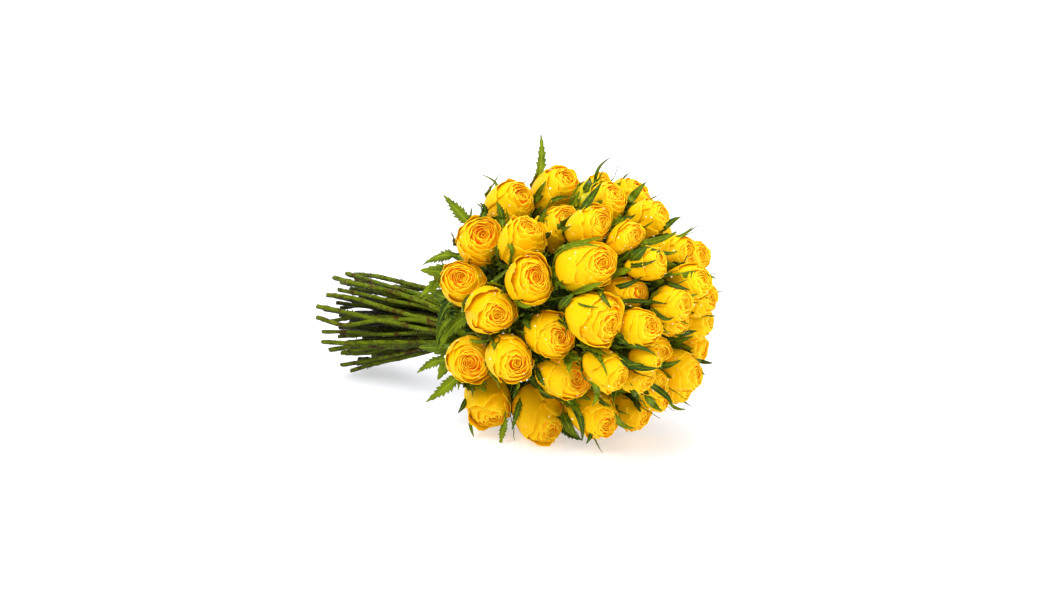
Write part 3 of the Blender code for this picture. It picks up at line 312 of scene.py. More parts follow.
def on_dome(pixel):
    """Where the line of sight meets the dome, or the dome's rim where it passes by."""
    ray = unit(sight(pixel))
    start = DOME_FRAME @ (VIEWPOINT - HEART) / DOME_SIZES
    step = DOME_FRAME @ ray / DOME_SIZES
    a, b, c = step @ step, start @ step, start @ start - 1.0
    inside = b * b - a * c
    if inside > 0.0:
        return VIEWPOINT + (-b - math.sqrt(inside)) / a * ray
    nearest = unit(start - b / a * step)
    return HEART + DOME_FRAME.T @ (nearest * DOME_SIZES)


def dome_point(from_axis, round_axis):
    """The point of the dome at two angles in degrees."""
    t, r = math.radians(from_axis), math.radians(round_axis)
    turned = np.array([math.cos(t), math.sin(t) * math.cos(r), math.sin(t) * math.sin(r)])
    return HEART + DOME_FRAME.T @ (turned * DOME_SIZES)


def leans(middles, sizes):
    """The way each bloom points: out from the fan's focus, and as the photograph shows.

    The pixels from foot to middle, over the length of a bloom there in pixels, give two
    parts of its way.  The third, towards the viewer, brings it to length 1.
    """
    steepest, read_weight = 0.96, 1.2
    fan = unit(middles - FAN_FOCUS)
    fan[:, 2] = np.maximum(fan[:, 2], LOWEST_LEAN)
    fan = unit(fan)
    for i, (x, y, _, lean) in enumerate(SEEN_BLOOMS):
        if lean is None:
            continue
        length = BLOOM_LENGTH * sizes[i] * FOCAL_PIXELS
        length /= np.linalg.norm(middles[i] - VIEWPOINT)
        across, rise = lean[0] / length, -lean[1] / length
        steep = max(1.0, math.hypot(across, rise) / steepest)
        across, rise = across / steep, rise / steep
        near = -unit(sight((x, y)))
        right = unit(VIEW_RIGHT - near * (VIEW_RIGHT @ near))
        towards = math.sqrt(1.0 - across ** 2 - rise ** 2)
        read = across * right + rise * np.cross(near, right) + towards * near
        fan[i] = unit(fan[i] + read_weight * read)
    return fan


def ball_centres(middles, ways, sizes):
    """The centres of the five balls on each bloom's axis."""
    back = (BLOOM_LENGTH - BALL_STATIONS) * sizes[:, None]
    return middles[:, None] - ways[:, None] * back[..., None]


def closest_balls(middles, ways, sizes, shrink):
    """For each pair of blooms, their closest balls: overlap, direction and the two balls."""
    count, balls = len(sizes), len(BALL_RADII)
    centres = ball_centres(middles, ways, sizes).reshape(-1, 3)
    radii = (shrink * BALL_RADII * sizes[:, None]).reshape(-1)
    apart = centres[:, None] - centres
    distance = np.linalg.norm(apart, axis=2) + 1e-9
    overlap = radii[:, None] + radii - distance
    blocks = overlap.reshape(count, balls, count, balls).transpose(0, 2, 1, 3)
    best = blocks.reshape(count, count, balls * balls).argmax(axis=2)
    first = np.arange(count)[:, None] * balls + best // balls
    second = np.arange(count) * balls + best % balls
    deepest = overlap[first, second]
    np.fill_diagonal(deepest, -1.0)
    return deepest, apart[first, second] / distance[first, second, None], first, second


def settled_blooms():
    """Lets the blooms push each other apart, as the solids do: middles, ways and sizes.

    At each step a bloom moves by its overlaps, along and across its way, up off the
    floor, and back towards its line of sight or its first place.
    """
    sizes = np.array([row[2] for row in SEEN_BLOOMS] + [HIDDEN_SIZE] * len(HIDDEN_BLOOMS))
    rays = unit([sight(row[:2]) for row in SEEN_BLOOMS])
    seen = len(SEEN_BLOOMS)
    middles = np.array([on_dome(row[:2]) for row in SEEN_BLOOMS]
                       + [dome_point(*row) for row in HIDDEN_BLOOMS])
    home = middles.copy()
    for _ in range(SETTLING_STEPS):
        ways = leans(middles, sizes)
        overlap, apart, _, _ = closest_balls(middles, ways, sizes, BALL_SHRINK)
        overlap = np.maximum(overlap, 0.0)
        move = (apart * overlap[:, :, None] * 0.5).sum(axis=1)
        both = unit(ways[:, None] + ways)
        ahead = np.sign(((middles[:, None] - middles) * both).sum(axis=2))
        move += (both * (ahead * overlap * 0.3)[:, :, None]).sum(axis=1)
        balls = ball_centres(middles, ways, sizes)[:, :, 2]
        sunk = (BALL_SHRINK * BALL_RADII * sizes[:, None] - balls).max(axis=1)
        move[:, 2] += np.maximum(sunk, 0.0) * 0.8
        middles = middles + 0.5 * move
        along = ((middles[:seen] - VIEWPOINT) * rays).sum(axis=1, keepdims=True)
        middles[:seen] += SIGHT_PULL * (VIEWPOINT + along * rays - middles[:seen])
        middles[seen:] += HOME_PULL * (home[seen:] - middles[seen:])
        level = np.linalg.norm((middles - HEART) @ DOME_FRAME.T / DOME_SIZES, axis=1)
        wanted = np.clip(level, *LEVELS) / level
        middles = HEART + (middles - HEART) * wanted[:, None]
    return middles, leans(middles, sizes), sizes


def walls_between(middles, ways, sizes):
    """The flat walls that a bloom presses on: a point on its axis, a way and a limit."""
    furthest_apart = 0.005
    overlap, apart, first, second = closest_balls(middles, ways, sizes, 1.0)
    centres = ball_centres(middles, ways, sizes).reshape(-1, 3)
    radii = (BALL_RADII * sizes[:, None]).reshape(-1)
    walls = []
    for i in range(len(sizes)):
        own = []
        for j in np.nonzero(overlap[i] > -furthest_apart)[0]:
            a, b = first[i, j], second[i, j]
            distance = np.linalg.norm(centres[a] - centres[b])
            share = radii[a] / (radii[a] + radii[b])
            own.append((centres[a], -apart[i, j], distance * share - 0.5 * SEAT_GAP))
        own.append((middles[i], -UP, middles[i, 2]))
        walls.append(own)
    return walls


def pressed(petals, sepals, walls):
    """Presses petals behind a bloom's walls, and its sepals with them.

    The outer 7/10 of the way to a wall shrinks in proportion, so layers keep their
    order.  A sepal that reaches further than any petal is laid against the wall.
    """
    petals, sepals = petals.copy(), sepals.copy()
    for _ in range(PRESSING_ROUNDS):
        for origin, way, limit in walls:
            reach = (petals - origin) @ way
            furthest = reach.max()
            still = STILL_SHARE * limit
            squeeze = 1.0
            if furthest > limit:
                squeeze = (limit - still) / (furthest - still)
                short = np.where(reach > still, (reach - still) * (squeeze - 1.0), 0.0)
                petals += short[:, None] * way
            reach = (sepals - origin) @ way
            laid = np.minimum(still + (reach - still) * squeeze, limit + SEPAL_PROUD)
            sepals += np.where(reach > still, laid - reach, 0.0)[:, None] * way
    return petals, sepals


def frame_round(way, roll):
    """Two directions square to `way`, turned by roll."""
    flat = unit(np.cross(way, UP if abs(way[2]) < 0.9 else (1.0, 0.0, 0.0)))
    other = np.cross(way, flat)
    return spoke(roll, flat, other), spoke(roll, other, -flat)


def grid_quads(index):
    """Quads between neighbours in grids of point numbers, shape (..., rows, columns)."""
    corners = (index[..., :-1, :-1], index[..., :-1, 1:], index[..., 1:, 1:], index[..., 1:, :-1])
    return np.stack(corners, axis=-1).reshape(-1, 4)


def grid_normals(sheets):
    """Normals of grids of points: the way across them crossed with the way along them."""
    return unit(np.cross(np.gradient(sheets, axis=2), np.gradient(sheets, axis=1)))


def in_scene(name, data):
    """A new object of the scene, at the origin."""
    made = bpy.data.objects.new(name, data)
    bpy.context.scene.collection.objects.link(made)
    return made


class Skin:
    """Gathers grids of points, their faces and their values until they become a mesh.

    A value is a number for all points, or an array that spreads over their grid.
    """

    def __init__(self):
        self.points, self.quads, self.triangles, self.values = [], [], [], []
        self.count = 0

    def add(self, points, quads, values, triangles=np.zeros((0, 3), int)):
        """Adds points and the faces between them, which are numbered from 0."""
        self.points.append(points)
        self.quads.append(quads + self.count)
        self.triangles.append(triangles + self.count)
        self.values.append(values)
        self.count += len(points)

    def add_blades(self, sheets, thickness, values):
        """Closed blades from sheets of points, shape (blades, rows, columns, 3).

        Each sheet is moved half its thickness to either side along its normals, and a
        rim of quads joins the two sides.
        """
        half = 0.5 * thickness * grid_normals(sheets)
        both = np.stack([sheets + half, sheets - half], axis=1)
        index = np.arange(both.size // 3).reshape(both.shape[:4])
        front, back = index[:, 0], index[:, 1]
        quads = [grid_quads(front), grid_quads(back)[:, (0, 3, 2, 1)]]
        for rim in ((back[:, 0], front[:, 0]), (front[:, -1], back[:, -1]),
                    (front[..., 0], back[..., 0]), (back[..., -1], front[..., -1])):
            quads.append(grid_quads(np.stack(rim, axis=1)))
        spread = {}
        for name, sides in [("inside", (0.0, 1.0))] + [(k, (v, v)) for k, v in values.items()]:
            sides = [np.broadcast_to(side, sheets.shape[:3]) for side in sides]
            spread[name] = np.stack(sides, axis=1).reshape(-1)
        self.add(both.reshape(-1, 3), np.concatenate(quads), spread)

    def add_tube(self, rings, values):
        """A closed tube from rings of points, shape (rings, sides, 3), with flat ends."""
        count, sides, _ = rings.shape
        index = np.arange(count * sides).reshape(count, sides)
        turned = np.roll(index, -1, axis=1)
        quads = grid_quads(np.concatenate([index, index[:, :1]], axis=1))
        start, end = np.full(sides, count * sides), np.full(sides, count * sides + 1)
        caps = np.concatenate([np.stack([turned[0], index[0], start], axis=-1),
                               np.stack([index[-1], turned[-1], end], axis=-1)])
        points = np.concatenate([rings.reshape(-1, 3), rings[[0, -1]].mean(axis=1)])
        spread = {}
        for name, value in {"inside": 0.0, **values}.items():
            body = np.broadcast_to(value, (count, sides)).reshape(-1)
            spread[name] = np.concatenate([body, body[[0, -1]]])
        self.add(points, quads, spread, caps)

    def mesh(self, name, finish):
        """One object, moved to the frame of the solids, with its values as attributes."""
        points = np.concatenate(self.points) - BOX_MIDDLE
        quads, triangles = np.concatenate(self.quads), np.concatenate(self.triangles)
        made = bpy.data.meshes.new(name)
        made.vertices.add(len(points))
        made.vertices.foreach_set("co", points.astype(np.float32).ravel())
        corners = np.concatenate([quads.ravel(), triangles.ravel()]).astype(np.int32)
        made.loops.add(len(corners))
        made.loops.foreach_set("vertex_index", corners)
        starts = np.concatenate([np.arange(len(quads)) * 4,
                                 quads.size + np.arange(len(triangles)) * 3])
        made.polygons.add(len(starts))
        made.polygons.foreach_set("loop_start", starts.astype(np.int32))
        made.update(calc_edges=True)
        made.validate()
        for key in self.values[0]:
            layer = made.attributes.new(key, "FLOAT", "POINT")
            value = np.concatenate([values[key] for values in self.values])
            layer.data.foreach_set("value", value.astype(np.float32))
        made.shade_smooth()
        made.materials.append(finish)
        obj = in_scene(name, made)
        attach(obj, "root")
        return obj


def fed(tree, target, inputs):
    """Fills inputs of a node, by name or number, each with a socket or a plain value."""
    for key, value in inputs.items():
        slot = target.inputs[key]
        if isinstance(value, bpy.types.NodeSocket):
            tree.links.new(value, slot)
        else:
            slot.default_value = (*value, 1.0) if slot.type == "RGBA" else value


def node(tree, kind, inputs=None, **settings):
    """The first output of a new node, with its settings and its inputs."""
    made = tree.nodes.new(kind)
    for key, value in settings.items():
        setattr(made, key, value)
    fed(tree, made, inputs or {})
    return made.outputs[0]


def mixed(tree, first, second, factor):
    """Two colours mixed: first where the factor is 0, second where it is 1."""
    made = tree.nodes.new("ShaderNodeMix")
    made.data_type = "RGBA"
    fed(tree, made, {0: factor, 6: first, 7: second})
    return made.outputs[2]


def layered(tree, colour, *layers):
    """A colour with others laid over it in turn, each with its own mask."""
    for over, mask in layers:
        colour = mixed(tree, colour, over, mask)
    return colour


def mapped(tree, value, low, high, to_low=0.0, to_high=1.0):
    """A smooth step of a value, from to_low at low to to_high at high."""
    return node(tree, "ShaderNodeMapRange",
                {0: value, 1: low, 2: high, 3: to_low, 4: to_high},
                interpolation_type="SMOOTHSTEP")


def combined(tree, kind, first, second=0.0):
    """An operation on two values, or on the first alone."""
    return node(tree, "ShaderNodeMath", {0: first, 1: second}, operation=kind)


def times(tree, first, second):
    """The product of two values."""
    return combined(tree, "MULTIPLY", first, second)


def attributes(tree, *names):
    """The values that a mesh has under these names."""
    for name in names:
        made = tree.nodes.new("ShaderNodeAttribute")
        made.attribute_name = name
        yield made.outputs["Fac"]


def noise(tree, vector, scale, detail=3.0, roughness=0.5):
    """Smooth noise from 0 to 1."""
    return node(tree, "ShaderNodeTexNoise", {"Vector": vector, "Scale": scale,
                                             "Detail": detail, "Roughness": roughness})


def object_place(tree):
    """The point's own place in the object."""
    return tree.nodes.new("ShaderNodeTexCoord").outputs["Object"]


def beading(tree, spacing):
    """The height of the wet beading, with so many cells to a metre."""
    return node(tree, "ShaderNodeGroup", {0: spacing}, node_tree=WET_BEADING)


def bumped(tree, height, strength, distance):
    """The normal of a bumped surface."""
    return node(tree, "ShaderNodeBump",
                {"Strength": strength, "Distance": distance, "Height": height})


def new_group(name, output, *inputs):
    """An empty node group with its named sockets, and its end node."""
    group = bpy.data.node_groups.new(name, "ShaderNodeTree")
    for socket in inputs:
        group.interface.new_socket(socket, in_out="INPUT", socket_type="NodeSocketFloat")
    group.interface.new_socket(output, in_out="OUTPUT", socket_type="NodeSocketFloat")
    return group, group.nodes.new("NodeGroupOutput")


def wet_film_group():
    """Fine wet beading: round dots from the distance to random cells, as a height."""
    group, end = new_group("wet_beading", "Height", "Spacing")
    place = object_place(group)
    cells = node(group, "ShaderNodeTexVoronoi",
                 {"Vector": place, "Scale": node(group, "NodeGroupInput")})
    patches = mapped(group, noise(group, place, 55.0), 0.46, 0.60)
    fed(group, end, {0: times(group, mapped(group, cells, 0.34, 0.10), patches)})
    return group


def vein_group():
    """Veins of a leaf: a midrib at the middle and slanting side veins, as a mask.

    A side vein runs where 7 * (along - 0.35 * |across|) is a whole number.
    """
    group, end = new_group("leaf_veins", "Mask")
    along, across = attributes(group, "along", "across")
    off = combined(group, "ABSOLUTE", across)
    midrib = mapped(group, off, 0.16, 0.02)
    place = combined(group, "SUBTRACT", along, times(group, off, 0.35))
    phase = combined(group, "FRACT", times(group, place, 7.0))
    nearness = combined(group, "ABSOLUTE", combined(group, "SUBTRACT", phase, 0.5))
    side_veins = times(group, mapped(group, nearness, 0.14, 0.02), 0.6)
    fed(group, end, {0: combined(group, "MAXIMUM", midrib, side_veins)})
    return group


def new_finish(name):
    """A new material, with its tree and its shader."""
    made = bpy.data.materials.new(name)
    made.use_nodes = True
    return made, made.node_tree, made.node_tree.nodes["Principled BSDF"]


def petal_finish():
    """Yellow petals, amber at the foot and in veins, painted orange shade in the heart, pale at
    the lip.

    The veins are noise drawn out along the petal.  The orange is painted shade, laid down
    between the inner petals below their lips.  A glow stands for the light that
    petals pass on to each other, and is strongest between the folded ones.
    """
    made, tree, shader = new_finish("rose_petal")
    depth, along, across, tone, green, inside = attributes(
        tree, "depth", "along", "across", "tone", "green", "inside")
    yellow, amber, shade_orange = (0.87, 0.510, 0.002), (0.80, 0.385, 0.001), (0.80, 0.170, 0.002)
    pale, leafy = (1.0, 0.720, 0.022), (0.56, 0.580, 0.012)
    veins = noise(tree, node(tree, "ShaderNodeCombineXYZ", {
        0: times(tree, across, 9.0), 1: times(tree, along, 1.6), 2: times(tree, tone, 40.0),
    }), 2.2, 2.0)
    # Mask of the painted shade: orange on the inner rings, below their lips
    heart = times(tree, mapped(tree, depth, 0.20, 0.60), mapped(tree, along, 0.988, 0.950))
    lip = times(tree, mapped(tree, along, 0.972, 0.995, 0.0, 0.95),
                mapped(tree, depth, 0.60, 1.0, 1.0, 0.25))
    body = layered(tree, yellow,
                   (amber, mapped(tree, along, 0.70, 0.25, 0.0, 0.75)),
                   (amber, mapped(tree, veins, 0.48, 0.75, 0.0, 0.35)),
                   (amber, mapped(tree, tone, 0.5, 1.0, 0.0, 0.35)),
                   (shade_orange, times(tree, heart, 0.95)), (pale, lip), (leafy, green))
    folded = combined(tree, "MAXIMUM", times(tree, inside, mapped(tree, depth, 0.0, 0.12)),
                      mapped(tree, depth, 0.26, 0.37))
    deep_glow = mixed(tree, (0.18, 0.065, 0.0), (0.09, 0.008, 0.0),
                      mapped(tree, depth, 0.25, 1.0))
    glow = mixed(tree, (0.040, 0.020, 0.0), deep_glow,
                 times(tree, folded, mapped(tree, along, 0.995, 0.945)))
    wet = beading(tree, 620.0)
    height = combined(tree, "ADD", wet, times(tree, veins, 0.9))
    fed(tree, shader, {
        "Base Color": body, "Emission Color": glow, "Emission Strength": 1.0,
        "Subsurface Weight": 0.12, "Subsurface Radius": (1.0, 0.55, 0.10),
        "Subsurface Scale": 0.003, "Specular IOR Level": 0.06,
        "Roughness": mapped(tree, wet, 0.0, 1.0, 0.46, 0.12),
        "Normal": bumped(tree, height, 0.35, 0.0006)})
    return made


def leaf_finish(name, light, dark):
    """Two greens by noise and by each leaf's tone, paler on the veins, and wet."""
    made, tree, shader = new_finish(name)
    place, wet = object_place(tree), beading(tree, 520.0)
    tone, = attributes(tree, "tone")
    veins = node(tree, "ShaderNodeGroup", node_tree=LEAF_VEINS)
    shades = combined(tree, "ADD", times(tree, noise(tree, place, 90.0), 0.5),
                      times(tree, tone, 0.5))
    paler = [min(1.0, 1.7 * part) for part in light]
    colour = layered(tree, dark, (light, mapped(tree, shades, 0.25, 0.75)),
                     (paler, times(tree, veins, 0.45)))
    relief = combined(tree, "ADD", wet, times(tree, noise(tree, place, 900.0), 0.3))
    fed(tree, shader, {
        "Base Color": colour, "Specular IOR Level": 0.10,
        "Roughness": mapped(tree, wet, 0.0, 1.0, 0.48, 0.12),
        "Normal": bumped(tree, combined(tree, "SUBTRACT", relief, veins), 0.5, 0.0005)})
    return made


def stem_finish():
    """Green stems, olive in long streaks, brown in patches and at the joints, and wet.

    The streaks are noise drawn out along the stems.  The cut is pale.  Painted shade makes
    what lies deep in the bundle or underneath nearly black, and the paler colour on the
    wet beads is a painted highlight.
    """
    made, tree, shader = new_finish("rose_stem")
    place, wet = object_place(tree), beading(tree, 330.0)
    cut, tone, swelling, shade = attributes(tree, "cut", "tone", "swelling", "shade")
    green, olive, brown = (0.050, 0.085, 0.002), (0.145, 0.185, 0.006), (0.060, 0.024, 0.006)
    pith, shade_black, bead_highlight = (0.30, 0.32, 0.08), (0.007, 0.008, 0.001), (0.55, 0.62, 0.16)
    streaks = node(tree, "ShaderNodeMapping", {"Scale": (18.0, 260.0, 260.0), "Vector": place})
    patches = noise(tree, place, 75.0, 5.0, 0.6)
    # Near the end of these layers, painted shade turns the stems nearly black deep in the bundle
    # and underneath
    colour = layered(tree, green,
                     (olive, mapped(tree, noise(tree, streaks, 1.0), 0.35, 0.7)),
                     (olive, times(tree, tone, 0.5)),
                     (brown, mapped(tree, patches, 0.50, 0.63, 0.0, 0.90)),
                     (brown, times(tree, swelling, 0.55)),
                     (pith, cut), (shade_black, shade), (bead_highlight, times(tree, wet, 0.45)))
    # The pale colour on the wet beads above is a painted highlight; the lower roughness there is
    # the real wet gloss
    fed(tree, shader, {
        "Base Color": colour, "Specular IOR Level": 0.03,
        "Roughness": mapped(tree, wet, 0.0, 1.0, 0.42, 0.10),
        "Normal": bumped(tree, noise(tree, streaks, 2.5, 4.0), 0.5, 0.0004)})
    return made


def twine_finish():
    """Tan twine, whose fibres are noise by the place along it and round it."""
    made, tree, shader = new_finish("twine")
    along, across = attributes(tree, "along", "across")
    fibres = noise(tree, node(tree, "ShaderNodeCombineXYZ", {
        0: times(tree, along, 260.0), 1: times(tree, across, 3.0)}), 1.0, 2.0)
    fed(tree, shader, {
        "Base Color": mixed(tree, (0.20, 0.13, 0.06), (0.50, 0.38, 0.22), fibres),
        "Roughness": 0.85, "Normal": bumped(tree, fibres, 0.7, 0.0006)})
    return made


def water_finish():
    """Clear water with a faint glow of the studio's light in it."""
    made, tree, shader = new_finish("water_drop")
    fed(tree, shader, {
        "Base Color": (1.0, 1.0, 1.0), "Roughness": 0.02, "Transmission Weight": 0.7,
        "Emission Color": (1.0, 0.97, 0.80), "Emission Strength": 0.42, "IOR": 1.33})
    return made


WET_BEADING = wet_film_group()
LEAF_VEINS = vein_group()
PETAL = petal_finish()
LEAF = leaf_finish("rose_leaf", (0.215, 0.290, 0.004), (0.018, 0.046, 0.003))
SEPAL = leaf_finish("rose_sepal", (0.150, 0.220, 0.006), (0.030, 0.060, 0.004))
STEM = stem_finish()
TWINE = twine_finish()
WATER = water_finish()


def bloom_radius(share, mouth):
    """Radius of a bloom at a share of its height.

    A sine raised to a power gives the rounded foot up to the belly.  Above the belly
    the radius falls by the square of the way to the top, down to the mouth.
    """
    share = np.clip(share, 1e-4, 1.15)
    foot = np.sin(0.76 * np.pi * np.minimum(share, BELLY_SHARE) ** 0.62) ** 0.62
    above = np.clip((share - BELLY_SHARE) / (1.0 - BELLY_SHARE), 0.0, 1.3)
    return BELLY * (foot - (1.0 - mouth) * above ** 2.0)


def petal_ring(row, mouth, flare, chance):
    """The petals of one ring in a bloom's own frame, foot at the origin, +Z up.

    A petal spans an angle either side of its middle.  Its radius follows the bloom's
    body, plus a winding in proportion to the place across it, plus a curl that grows
    with the square of the way through its top fifth.  Its lip drops towards the
    corners, has a small point in the middle and a notch, and waves.
    """
    belly, inset, wider, top, foot, count, half_angle, wind, curl, ruffle, rows, columns = row
    outermost = wider > 0.1
    u = np.linspace(-1.0, 1.0, columns)
    v = np.linspace(0.0, 1.0, rows)[:, None] ** 0.70
    own = (count, 1, 1)
    spread = 2.0 * np.pi / count
    middle = spread * np.arange(count)[:, None, None] + chance.uniform(0.0, 2.0 * np.pi)
    middle = middle + chance.uniform(-0.16, 0.16, own)
    phase = chance.uniform(0.0, 2.0 * np.pi, own)
    point = chance.uniform(0.2, 2.0, own) * ruffle * np.exp(-(u / 0.14) ** 2)
    notch = chance.uniform(-0.4, 1.4, own) * ruffle
    notch = notch * np.exp(-((u - 0.5 * np.sin(phase)) / 0.10) ** 2)
    drop = chance.uniform(2.5, 6.0, own) * (ruffle + 0.0003) * np.abs(u) ** 2.6
    waves = ruffle * (0.50 * np.sin(5.0 * u + phase) + 0.40 * np.sin(11.0 * u + 2.0 * phase)
                      + 0.35 * np.sin(19.0 * u + 5.0 * phase))
    lip = top * (1.0 + chance.uniform(-0.035, 0.015, own)) + point - notch - drop + waves
    if outermost:
        lip = lip + flare * (0.012 + 0.020 * np.exp(-(u / 0.35) ** 2))
    height = foot + (lip - foot) * v
    fold = np.clip((v - 0.80) / 0.20, 0.0, 1.0)
    slack = 1.0 + 0.8 * np.sin(2.6 * u + phase) + chance.uniform(-0.4, 0.8, own)
    slack = np.maximum(slack, 0.1)
    loose = chance.uniform(-0.04, 0.10, own) + flare * chance.uniform(0.3, 1.3, own)
    narrow = inset * mouth / belly + wider + loose * outermost
    radius = belly * bloom_radius(height / BLOOM_LENGTH, narrow)
    radius = radius + wind * u * (0.35 + 0.65 * v) + curl * slack * fold ** 2
    radius = radius + ruffle * fold * (0.8 * np.sin(8.0 * u + 3.0 * phase)
                                       + 0.4 * np.sin(17.0 * u + phase))
    radius = np.maximum(radius, 0.0004)
    height = height - 0.45 * curl * slack * fold ** 3
    angle = middle + np.radians(half_angle) * u * (0.74 + 0.26 * np.minimum(1.0, 2.5 * v))
    sheets = np.stack([radius * np.cos(angle), radius * np.sin(angle), height], axis=-1)
    return sheets, {"along": 1.0 - (lip - height) / BLOOM_LENGTH, "across": u,
                    "tone": chance.uniform(0.0, 1.0, own)}


def leaned(sheets, offset, tilt):
    """Moves the heart of a bloom off its axis and slants its mouth.

    The move grows smoothly from the belly to the lips, and the slant is in proportion
    to the place across the mouth.
    """
    up = ramp(sheets[..., 2] / BLOOM_LENGTH, 0.45, 1.0)[..., None]
    slant = (sheets[..., :2] @ tilt)[..., None] * UP
    return sheets + up * np.array([*offset, 0.0]) + up * slant


def sepal_sheets(way, right, over, chance):
    """The five sepals of a bloom, from its hip up its side, in the bloom's own frame.

    A sepal rises from below the foot over the rounded base and up the body, a little
    off the petals, then curls out by the square of the way through its last part.
    Where it would cross the face that the viewer sees, it is short.  On blooms at the
    edge of the head some bend down, by a sine outwards and a square downwards.
    """
    rows, columns = 14, 5
    start, least_radius = -0.0035, 0.0030
    u = np.linspace(-1.0, 1.0, columns)
    v = np.linspace(0.0, 1.0, rows)[:, None]
    sheets, tones, edge = [], [], way @ AXIS < 0.72
    for k in range(5):
        turn = 2.0 * np.pi * k / 5.0 + chance.uniform(-0.25, 0.25)
        facing = spoke(turn, right, over) @ TO_VIEWER
        long = chance.uniform(0.036, 0.056)
        if facing > 0.60:
            long = chance.uniform(0.014, 0.022)
        elif facing > 0.25:
            long = chance.uniform(0.026, 0.044)
        curl = chance.uniform(0.001, 0.009)
        down = edge and chance.uniform() < 0.4
        half = chance.uniform(0.0028, 0.0040) * (1.0 - v ** 2.2) ** 0.8
        half = half * (0.55 + 0.9 * np.sin(np.pi * np.minimum(v + 0.12, 1.0)))
        half = half * (1.0 - 0.45 * (np.abs(u) > 0.9) * (np.sin(9.0 * np.pi * v) > 0.2))
        half = half + 0.0001
        if down:
            radius = least_radius + 0.022 * np.sin(0.5 * np.pi * v) + 0.003 * v ** 3
            height = -0.003 + 0.004 * np.sin(np.pi * v) - 0.020 * v ** 2
        else:
            height = start + (long - start) * v
            radius = bloom_radius(np.maximum(height, 0.0) / BLOOM_LENGTH, 0.95)
            radius = np.maximum(1.10 * radius + 0.0013, 0.0034)
            radius = np.where(height < 0.0, least_radius, radius)
            radius = radius + curl * ramp(v, 0.55, 1.0) ** 2
        angle = turn + 0.4 * (chance.uniform(-0.5, 0.5) * v ** 2)
        aside = half * u
        cupped = radius + 0.25 * half * u ** 2
        sheets.append(np.stack([cupped * np.cos(angle) - aside * np.sin(angle),
                                cupped * np.sin(angle) + aside * np.cos(angle),
                                height + 0.0 * u], axis=-1))
        tones.append(chance.uniform(0.2, 1.0))
    tones = np.array(tones)[:, None, None]
    return np.array(sheets), {"along": v, "across": u, "tone": tones}


def heart_rings(mouth):
    """The closed heart that the innermost petals stand on: a low dome of rings."""
    v = np.linspace(0.0, 1.0, 7)[:, None]
    radius = 0.98 * mouth * BELLY * np.cos(0.5 * np.pi * v * 0.98) ** 0.7
    ring = spoke(turns(18), np.array([1.0, 0.0, 0.0]), SIDE)
    height = 0.0430 + 0.0070 * np.sin(0.5 * np.pi * v)
    return radius[..., None] * ring + height[..., None] * UP


def hip_rings(foot, way, right, over, size):
    """The green hip below a bloom: rings that swell as a sine from stem to foot."""
    v = np.linspace(0.0, 1.0, 9)[:, None]
    radius = STEM_RADIUS * 0.9 + 0.0026 * np.sin(np.pi * v ** 0.8) + 0.0010 * v
    height = (-0.0105 + 0.0125 * v) * size
    return foot + radius[..., None] * spoke(turns(12), right, over) + height[..., None] * way


def search_tree(sheets):
    """One search tree of the quads of open sheets of points."""
    faces, start = [], 0
    for own in sheets:
        faces.append(grid_quads(start + np.arange(own.size // 3).reshape(own.shape[:3])))
        start += own.size // 3
    points = np.concatenate([own.reshape(-1, 3) for own in sheets])
    return BVHTree.FromPolygons(points.tolist(), np.concatenate(faces).tolist())


